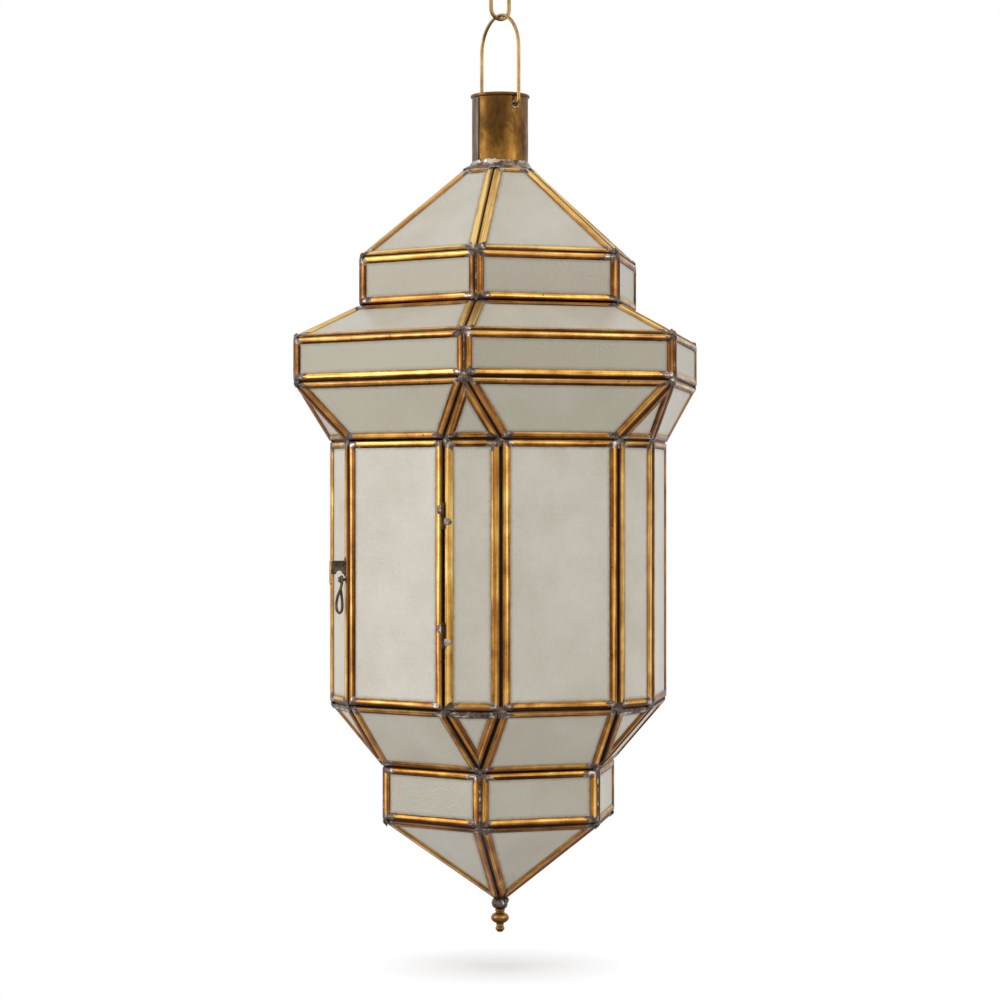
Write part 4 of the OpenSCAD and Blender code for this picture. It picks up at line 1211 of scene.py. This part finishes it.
def add_run(plan, start, end, outward, width, rng, sink=RUN_SINK, step=RUN_STEP):
    """A half-round bead of solder along a groove, uneven in width and height, with a painted highlight
    along its crest.
    """
    along = (end - start).normalized()
    side = along.cross(outward).normalized()
    outward = side.cross(along)
    steps = max(4, round((end - start).length / step))
    shift = rng.uniform(0, 50)
    rows = []
    for j in range(steps + 1):
        spot = start.lerp(end, j / steps)
        swell = 1 + 0.35 * noise.noise(Vector((shift, j * 0.55, 0)))
        row = []
        for k in range(RUN_SIDES + 1):
            a = math.pi * (k / RUN_SIDES - 0.5)
            across = side * math.sin(a) * width * swell
            # The crest gets a painted highlight, in broken lengths
            crest = max(0.0, math.cos(a)) ** 6 * (0.75 + noise.noise(Vector((shift, j * 0.31, 7))))
            over = spot + across + outward * (math.cos(a) * width * 0.55 * swell - sink)
            row.append(plan.add(over, shine=0.7 * crest))
        row.append(plan.add(spot - outward * (sink + RUN_ROOT)))
        rows.append(row)
    plan.faces.append(tuple(rows[0]))
    plan.bridge(rows)
    plan.faces.append(tuple(reversed(rows[-1])))


plan = Plan("shine")
for upper, lower in BAND_RINGS:
    for top, low in zip(rings[upper], rings[lower]):
        out = Vector((top.x, top.y, 0)).normalized()
        add_run(plan, top.lerp(low, BAND_END), low.lerp(top, BAND_END), out, RUN_W, rng)
build("band_solder", plan, solder_grey, "lantern", "solder")

# %% Solder deep in the grooves, painted dark as shade
DOOR_CORNERS = (11, 0)
BODY_TOP = 5
GROOVE_STEP = 12.0
GROOVE_END = 0.04
# Width of the run and how deep it lies, in a groove on an outward fold and in a hollow one
OUTER_GROOVE = (1.2, 3.6)
HOLLOW_GROOVE = (2.6, 3.3)
TIERS_DOWN = ("roof", "top_band", "flare", "wide_band", "shoulder", "wide_body", "lower_tier", "lower_band",
              "point")


def dark_run(plan, here, there, tilt, width, sink, rng):
    """A run deep in one groove. Tilt is how far the mouth of the groove looks up."""
    middle = (here + there) / 2
    out = Vector((middle.x, middle.y, 0)).normalized() * math.cos(tilt) + UP * math.sin(tilt)
    start, end = here.lerp(there, GROOVE_END), there.lerp(here, GROOVE_END)
    add_run(plan, start, end, out, width, rng, sink, GROOVE_STEP)


plan = Plan("shine")
for r in range(len(rings) - 1):
    for i, here in enumerate(rings[r]):
        at_door = len(rings[r]) == 12 and i in DOOR_CORNERS
        if not (at_door and r == BODY_TOP):
            for there in across_rings(rings[r], rings[r + 1], i):
                dark_run(plan, here, there, 0.0, *OUTER_GROOVE, rng)
        if r and not (at_door and i == DOOR_CORNERS[0]):
            leans = [lean(tiers[name]) for name in TIERS_DOWN[r - 1:r + 1]]
            size = OUTER_GROOVE if leans[0] > leans[1] else HOLLOW_GROOVE
            dark_run(plan, here, rings[r][(i + 1) % len(rings[r])], sum(leans) / 2, *size, rng)
build("groove_solder", plan, groove_shade_grey, "lantern", "solder")

# %% [markdown]
# ## Turned and hand-bent parts
#
# The finial is turned on a lathe, so its mesh is too: a profile of radius and height, swept round the
# axis. The solder cap above it and the skirt at the foot of the chimney are swept the same way, and
# noise pushes their points about, because molten solder flows and freezes unevenly.

# %% Lathe


def add_turned(plan, profile, steps, shape=None, closed=False):
    """Sweeps a profile of radius and height round the axis. A radius of nought closes to a point."""
    rows = []
    for radius, z in profile:
        if radius == 0:
            rows.append([plan.add(Vector((0, 0, z)))])
            continue
        row = []
        for i in range(steps):
            a = 2 * math.pi * i / steps
            row.append(plan.add(compass(a, *(shape(a, radius, z) if shape else (radius, z)))))
        rows.append(row)
    for one, other in zip(rows, rows[1:]):
        if len(one) > 1 and len(other) > 1:
            plan.quad_rings(one, other)
        else:
            tip, ring = (one[0], other) if len(one) == 1 else (other[0], one)
            for i in range(steps):
                plan.faces.append((ring[i], ring[(i + 1) % steps], tip))
    if closed:
        plan.quad_rings(rows[-1], rows[0])


def arc(centre_r, centre_z, radius, start, stop, steps):
    """Points of a turned bead, from one angle to another, in degrees from outwards to upwards."""
    points = []
    for k in range(steps + 1):
        a = math.radians(start + (stop - start) * k / steps)
        points.append((max(0.0, centre_r + radius * math.cos(a)), centre_z + radius * math.sin(a)))
    return points


print("helpers: lathe and arc")

# %% Finial
CAP_LOW = 4.0
FINIAL_H = 20.48
FINIAL_STEPS = 48
BALL_R = 7.9
BALL_HALF_H = 5.2
BALL_DOWN = 8.0

finial_top = point_z - CAP_LOW
ball_z = finial_top - BALL_DOWN


def ball(*tilts):
    """Points of the flattened ball, each by its degrees above its middle."""
    angles = [math.radians(tilt) for tilt in tilts]
    return [(BALL_R * math.cos(a), ball_z + BALL_HALF_H * math.sin(a)) for a in angles]


profile = [(0, finial_top)]
profile += arc(3.3, finial_top - 1.5, 1.1, 85, -75, 8)
profile += [(3.7, finial_top - 2.85), (3.85, finial_top - 3.15)]
profile += ball(62, 50, 38, 26, 14, 6)
profile += [(7.95, ball_z + 0.25), (7.7, ball_z), (7.95, ball_z - 0.25)]
profile += ball(-6, -14, -26, -38, -50, -62)
profile += [(3.4, finial_top - 13.1), (3.15, finial_top - 13.9), (3.1, finial_top - 14.7),
            (3.3, finial_top - 15.4)]
profile += arc(2.3, finial_top - 17.3, 1.7, 65, -60, 8)
profile += [(2.6, finial_top - 20.0), (1.6, finial_top - FINIAL_H), (0, finial_top - FINIAL_H)]
plan = Plan()
add_turned(plan, profile, FINIAL_STEPS)
build("turned_finial", plan, finial_brass, "lantern", "came_brass", "finial")

# %% Solder cap over the point
CAP_R = 7.2
CAP_STEPS = 40
CAP_RUN_W = 1.9
CAP_SEED = 5
EAR_ANGLE = 0.9


def lumpy(amount, length, seed):
    """A shape for the lathe that pushes each point out or in by noise."""
    def shape(a, radius, z):
        spot = Vector((math.cos(a) * radius, math.sin(a) * radius, z)) / length
        push = noise.noise(spot + Vector((seed, 0, 0)))
        return radius * (1 + amount * push), z + amount * 4 * push
    return shape


profile = [(0, -CAP_LOW), (4.3, -CAP_LOW), (5.8, -3.2), (6.8, -1.6), (CAP_R, 0.4), (CAP_R, 2.4), (6.6, 4.4),
           (5.4, 5.6), (3.4, 6.2), (0, 6.2)]
plan = Plan()
add_turned(plan, [(r, point_z + z) for r, z in profile], CAP_STEPS, lumpy(0.2, 5.0, 3.0))
rng = random.Random(CAP_SEED)
for azimuth, low_corner, tip in zip(hexagon, rings[8], rings[9]):
    up = (low_corner - tip).normalized()
    out = compass(azimuth)
    reach = rng.uniform(9, 14)
    add_run(plan, tip + up * 5, tip + up * reach, out - up * out.dot(up), CAP_RUN_W, rng)
# A small ear stands out where the soldering iron left the cap
ear = compass(EAR_ANGLE)
fin = [ear * 0.8 + UP, ear * -0.4 - UP * 0.8]
add_drop(plan, Vector((0, 0, point_z + 1.2)) + ear * 6.6, ear.cross(UP), fin, 3.6, 0.5, rng, sharp=4)
build("point_solder", plan, solder_grey, "lantern", "solder", "solder_cap")

# %% [markdown]
# ## Chimney
#
# The chimney is a sheet rolled to a tube. Its rim is turned over a wire, its seam is lapped and
# soldered, and two holes take the ends of the bail. The tube is swept like a lathe piece, with slow
# dents in it, and the holes are cut with a boolean, which keeps the wall's thickness true at their
# edges. A burr of raised metal stands round each hole where the punch went through, painted silver as a
# highlight. A painted shadow line runs along the edge of the seam's lap. A skirt of solder joins the
# round tube to the six sides of the roof, with a painted highlight along its top.

# %% Chimney tube
CHIMNEY_D = 49.0
CHIMNEY_WALL = 1.0
CHIMNEY_SUNK = 5.0
RIM_D = 3.4
BAIL_AZIMUTH = math.radians(42)
BAIL_DOWN = 9.0
HOLE_BELOW_BAIL = 1.35
HOLE_D = 6.0
HOLE_Z = rim_z - BAIL_DOWN - HOLE_BELOW_BAIL
TUBE_STEPS = 120
TUBE_BELTS = 14


def dented(a, radius, z):
    """Slow dents in the sheet."""
    spot = Vector((math.cos(a) * 1.3, math.sin(a) * 1.3, z / 30))
    return radius + 0.22 * noise.noise(spot), z


outer_r = CHIMNEY_D / 2
inner_r = outer_r - CHIMNEY_WALL
foot_z = roof_z - CHIMNEY_SUNK
bead_z = rim_z - RIM_D / 2
heights = [foot_z + (bead_z - 1.0 - foot_z) * k / TUBE_BELTS for k in range(TUBE_BELTS + 1)]
profile = [(outer_r, z) for z in heights]
profile += arc(outer_r - 0.3, bead_z, RIM_D / 2 - 0.02, -80, 190, 14)
profile += [(inner_r, z) for z in reversed(heights)]
plan = Plan()
add_turned(plan, profile, TUBE_STEPS, dented, closed=True)
chimney = build("chimney_tube", plan, aged_brass, "lantern", "aged_brass", "chimney")

# %% Holes for the bail
cutter_work = bmesh.new()
across_bail = compass(BAIL_AZIMUTH)
turn = across_bail.to_track_quat("Z", "Y").to_matrix().to_4x4()
placing = Matrix.Translation((0, 0, HOLE_Z * MM)) @ turn
bmesh.ops.create_cone(cutter_work, cap_ends=True, segments=40, radius1=HOLE_D / 2 * MM,
                      radius2=HOLE_D / 2 * MM, depth=2 * CHIMNEY_D * MM, matrix=placing)
cutter_mesh = bpy.data.meshes.new("hole_cutter")
cutter_work.to_mesh(cutter_mesh)
cutter_work.free()
cutter = bpy.data.objects.new("hole_cutter", cutter_mesh)
bpy.context.scene.collection.objects.link(cutter)
punch = chimney.modifiers.new("bail_holes", "BOOLEAN")
punch.object = cutter
punch.solver = "EXACT"
bpy.context.view_layer.update()
cut_mesh = bpy.data.meshes.new_from_object(chimney.evaluated_get(bpy.context.evaluated_depsgraph_get()))
chimney.modifiers.clear()
chimney.data = cut_mesh
cut_mesh.set_sharp_from_angle(angle=SHARP_EDGE)
bpy.data.objects.remove(cutter)
print("chimney after the holes:", len(cut_mesh.polygons), "faces")

# %% Burrs round the holes
BURR_STEPS = 36
BURR_SIDES = 8
BURR_R = HOLE_D / 2 + 0.35

plan = Plan("shine")
for side in (1, -1):
    out = across_bail * side
    level_way = UP.cross(out)
    centre = Vector((0, 0, HOLE_Z)) + out * (outer_r - 0.1)
    rows = []
    for i in range(BURR_STEPS):
        a = 2 * math.pi * i / BURR_STEPS
        way = level_way * math.cos(a) + UP * math.sin(a)
        heavy = 0.3 + 0.55 * max(0.0, -math.sin(a)) + 0.12 * noise.noise(Vector((a, side * 5, 0)))
        bulge = outer_r - math.sqrt(outer_r ** 2 - (BURR_R * math.cos(a)) ** 2)
        middle = centre + way * BURR_R - out * bulge
        turns = [2 * math.pi * k / BURR_SIDES for k in range(BURR_SIDES)]
        # Painted highlight: the whole burr is silver
        rows.append([plan.add(middle + (way * math.cos(b) + out * math.sin(b)) * heavy, shine=1.0)
                     for b in turns])
    plan.bridge(rows, closed=True)
build("hole_burrs", plan, solder_grey, "lantern", "solder")

# %% Soldered seam
COLLAR_H = 6.4
SEAM_W = 7.0
SEAM_AZIMUTH = math.radians(-47)
SEAM_ROWS = 34
SEAM_COLUMNS = 16
LAP_T = 0.65
LAP_EDGE = 0.45

plan = Plan("grime")
seam_low = roof_z + COLLAR_H / 2
seam_high = rim_z - RIM_D - 0.3


def seam_angle(k):
    return SEAM_AZIMUTH + (k / (SEAM_COLUMNS - 2) - 0.5) * SEAM_W / outer_r


rows = []
for j in range(SEAM_ROWS):
    z = seam_low + (seam_high - seam_low) * j / (SEAM_ROWS - 1)
    row = []
    for k in range(SEAM_COLUMNS):
        part = k / (SEAM_COLUMNS - 2) - 0.5
        uneven = 1 + 0.3 * noise.noise(Vector((part * 3, z / 9, 0)))
        lap = min(1.0, (part + 0.5) * 9) if part < LAP_EDGE else 0.0
        # Painted shadow line: black on the tube just past the lap's edge, and a little darker on the lap
        # beside it
        black = 1.0 if part > LAP_EDGE else 0.25 * (part > 0.35)
        row.append(plan.add(compass(seam_angle(k), outer_r + 0.1 + LAP_T * lap * uneven, z), grime=black))
    row += [plan.add(compass(seam_angle(k), outer_r - 0.35, z)) for k in (SEAM_COLUMNS - 1, 0)]
    rows.append(row)
plan.bridge(rows)
plan.faces.append(tuple(rows[0]))
plan.faces.append(tuple(reversed(rows[-1])))
build("seam_solder", plan, seam_grey, "lantern", "solder", "chimney_seam")

# %% Skirt of solder
COLLAR_REACH = 33.0
SKIRT_IN = outer_r - 0.2
SKIRT_STEPS = 144
HIGHLIGHT_ABOVE = 3.9


def skirt(a, radius, z):
    """Pulls the foot of the skirt out to the six sides of the roof's top, and makes it lumpy."""
    sector = (a + math.radians(30)) % math.radians(60) - math.radians(30)
    sides = COLLAR_REACH * COS_30 / math.cos(math.radians(30) - abs(sector))
    foot = min(1.0, max(0.0, (radius - outer_r) / (COLLAR_REACH - outer_r)))
    reach = radius + foot ** 0.8 * (sides - COLLAR_REACH) * radius / COLLAR_REACH
    spot = Vector((math.cos(a) * 4, math.sin(a) * 4, z / 4))
    push = noise.noise(spot) * 0.9 + noise.noise(spot * 2.6) * 0.4
    return max(SKIRT_IN, reach + push * (0.5 + foot * 0.1)), z + push * 1.5 * (1 - foot)


profile = [(SKIRT_IN, -0.6), (COLLAR_REACH + 0.9, -1.9), (COLLAR_REACH + 1.5, -1.3),
           (COLLAR_REACH + 0.9, -0.5), (COLLAR_REACH - 0.9, 0.5), (30.2, 1.4), (28.4, 2.4), (27.2, 3.4),
           (26.3, 4.3), (26.0, 5.1), (25.8, 5.8), (25.3, 6.3), (SKIRT_IN, COLLAR_H)]
plan = Plan("shine")
add_turned(plan, [(r, roof_z + z) for r, z in profile], SKIRT_STEPS, skirt, closed=True)
# Painted highlight along the top of the skirt, and a little over the rest
plan.masks["shine"] = [0.9 if p.z > roof_z + HIGHLIGHT_ABOVE else 0.35 for p in plan.points]
build("skirt_solder", plan, skirt_grey, "lantern", "solder", "solder_collar")

# %% [markdown]
# ## The latch
#
# A bent strip of sheet stands out from the came beside the door. Its outer end is folded into a lip,
# and a notch under it keeps the hook's eye in place. The two plates are cut from outlines, thickened
# and given a small bevel, since filed sheet always has soft edges. The hook is one length of wire: an
# eye round the rivet, a neck and a long finger loop. It is a curve with a round bevel, because a wire
# keeps its thickness however it is bent.

# %% Where the latch sits
LATCH_Y = 107.5
LATCH_IN = 3.0
LATCH_X = NARROW_W / 2 - CREASE - LATCH_IN
BRACKET_UP = 4.6
BRACKET_T = 1.6
BRACKET_H = 11.5
BRACKET_REACH = 12.8
LIP_T = 1.4
LIP_W = 5.0
LIP_DROP = 9.0
NOTCH_R = 3.0
NOTCH_AT = 5.2
FILED_EDGE = 0.35
LATCH_SEED = 31

latch_matrix = face_matrix(tiers["narrow_body"], LATCH_AZIMUTH)
bracket_low = LATCH_Y + BRACKET_UP
bracket_top = bracket_low + BRACKET_H
bracket_right = LATCH_X + BRACKET_T / 2
lip_left = bracket_right - LIP_W
lip_low = bracket_low - LIP_DROP
arm_end = BRACKET_REACH - 0.3


def face_axes(place):
    """The directions right, up and outwards of a face, in the lantern's axes."""
    return [Vector(column) for column in place.to_3x3().col]


def add_plate(plan, outline_points, low_side, high_side, rub=0.0):
    """A flat plate between two copies of an outline, each made by a function from a point to 3-D."""
    one = [plan.add(latch_matrix @ low_side(p), rub=rub) for p in outline_points]
    other = [plan.add(latch_matrix @ high_side(p), rub=rub) for p in outline_points]
    plan.faces.append(tuple(one))
    plan.faces.append(tuple(reversed(other)))
    plan.quad_rings(one, other)


print("the hook turns", LATCH_Y, "mm above the foot of its bar")

# %% Latch bracket
arm = [(0.0, bracket_low), (NOTCH_AT - NOTCH_R, bracket_low)]
for k in range(1, 12):
    a = math.pi * k / 12
    arm.append((NOTCH_AT - NOTCH_R * math.cos(a), bracket_low + NOTCH_R * math.sin(a)))
arm += [(NOTCH_AT + NOTCH_R, bracket_low), (arm_end, bracket_low), (arm_end, bracket_top - 0.6),
        (9.0, bracket_top), (0.0, bracket_top)]
lip = [(lip_left, lip_low + 2.2), (lip_left + 1.2, lip_low + 0.5), (bracket_right - 1.6, lip_low),
       (bracket_right - 0.2, lip_low + 1.6), (bracket_right, bracket_top - 0.4),
       (lip_left + 0.6, bracket_top)]
plan = Plan("rub")
add_plate(plan, arm, lambda p: Vector((bracket_right - BRACKET_T, p[1], p[0])),
          lambda p: Vector((bracket_right, p[1], p[0])))
add_plate(plan, lip, lambda p: Vector((p[0], p[1], BRACKET_REACH - LIP_T)),
          lambda p: Vector((p[0], p[1], BRACKET_REACH)), rub=1.0)
rng = random.Random(LATCH_SEED)
right, up, out = face_axes(latch_matrix)
for y in (bracket_low + 1.5, bracket_low + 6, bracket_top - 1):
    add_drop(plan, latch_matrix @ Vector((LATCH_X, y, 0.2)), out, [up, -up], 2.6, 0.6, rng)
bracket = build("latch_plate", plan, latch_metal, "lantern", "aged_brass", "latch_bracket")
soft_edge = bracket.modifiers.new("filed_edges", "BEVEL")
soft_edge.width = FILED_EDGE * MM
soft_edge.segments = 3
soft_edge.angle_limit = math.radians(50)

# %% Latch hook
WIRE_R = 1.2
EYE_R = 2.6
EYE_OUT = 3.2

eye_angles = [math.radians(-150 + 30 * k) for k in range(11)]
eye = [(EYE_R * math.sin(a), EYE_R * math.cos(a), EYE_OUT) for a in eye_angles]
neck = [(0.3, -4.6, 3.3), (-0.3, -7.0, 3.6)]
loop = [(-0.2, -9.5, 4.6), (0.0, -13.0, 6.2), (0.1, -18.0, 7.6), (0.1, -23.0, 7.9), (0.1, -26.6, 7.2),
        (0.0, -28.7, 5.2), (0.0, -27.4, 3.1), (-0.1, -24.0, 2.3), (-0.1, -19.0, 2.4), (0.0, -14.0, 3.0),
        (0.3, -10.6, 3.6), (1.3, -8.6, 4.3)]
route = [(LATCH_X + x, LATCH_Y + y, z) for x, y, z in eye + neck + loop]
hook_curve = bpy.data.curves.new("latch_wire", "CURVE")
hook_curve.dimensions = "3D"
hook_curve.bevel_depth = WIRE_R * MM
hook_curve.bevel_resolution = 5
hook_curve.use_fill_caps = True
spline = hook_curve.splines.new("NURBS")
spline.points.add(len(route) - 1)
for point, spot in zip(spline.points, route):
    point.co = (*(latch_matrix @ Vector(spot) * MM), 1)
spline.order_u = 4
spline.use_endpoint_u = True
spline.resolution_u = 6
hook_curve.materials.append(latch_metal)
join_scene(bpy.data.objects.new("latch_wire", hook_curve), "latch", "brass_wire", "latch_hook")
print("latch wire points:", len(route))

# %% [markdown]
# ## Solder on the hinges
#
# Each knuckle is held by a smear of solder on the bar beside it. In each pair the frame's knuckle is the
# lower one and the door's the upper one. The smears on the door ride on the door, so they open with it.

# %% Solder that holds the hinge knuckles
HINGE_INSET = 63.0
HINGE_STEP = 5.2
HINGE_SEED = 61
# Body, tier, azimuth, the side of its face, and the way from the middle of the hinge
HINGES = (
    ("lantern", "narrow_body", 0, -1, -HINGE_STEP),
    ("door", "wide_body", DOOR_AZIMUTH, 1, HINGE_STEP),
)

for body, tier_name, azimuth, side, step in HINGES:
    plan = Plan("shine")
    rng = random.Random(HINGE_SEED + side)
    tier = tiers[tier_name]
    beside = face_matrix(tier, azimuth)
    right, up, out = face_axes(beside)
    for height in (HINGE_INSET, slope(tier) - HINGE_INSET):
        spot = beside @ Vector((side * (tier.low_w / 2 - CREASE - 1.8), height + step, -0.7))
        add_drop(plan, spot, out, [right * side, right * -side, up, -up], 2.3, 0.5, rng, sharp=2)
    plan.masks["shine"] = [0.8] * len(plan.points)
    build("hinge_solder_" + body, plan, skirt_grey, body, "solder")

# %% [markdown]
# ## Parts whose solid is already right
#
# The bail, the chain, the hook, the ceiling plate, the hinges and everything inside the chimney are
# plain turned, drawn or stamped parts. Their solids have the right shape, so only their surfaces are
# finished here.

# %% Finishes for the solid nodes
finish_nodes(wire_brass, "bail", "upper_chain_link", "lower_chain_link")
finish_nodes(aged_brass, "ceiling_plate", "hook_locknut", "ceiling_hook", "lampholder_cap",
             "lampholder_shell")
finish_nodes(latch_metal, "latch_rivet")
finish_nodes(hinge_brown, "hinge_pins", "frame_knuckles", "door_knuckles")
finish_nodes(finial_brass, "socket_thread")
finish_nodes(zinc, "holder_strap", "threaded_tube", "strap_nuts", "bulb_base")
finish_nodes(porcelain, "socket_insert")
finish_nodes(bush_plastic, "cord_bush")
finish_nodes(bulb_glass, "bulb_glass")
print("solid nodes finished")

# %% Size of the solid model
print("CAD box:", cad_bounds)
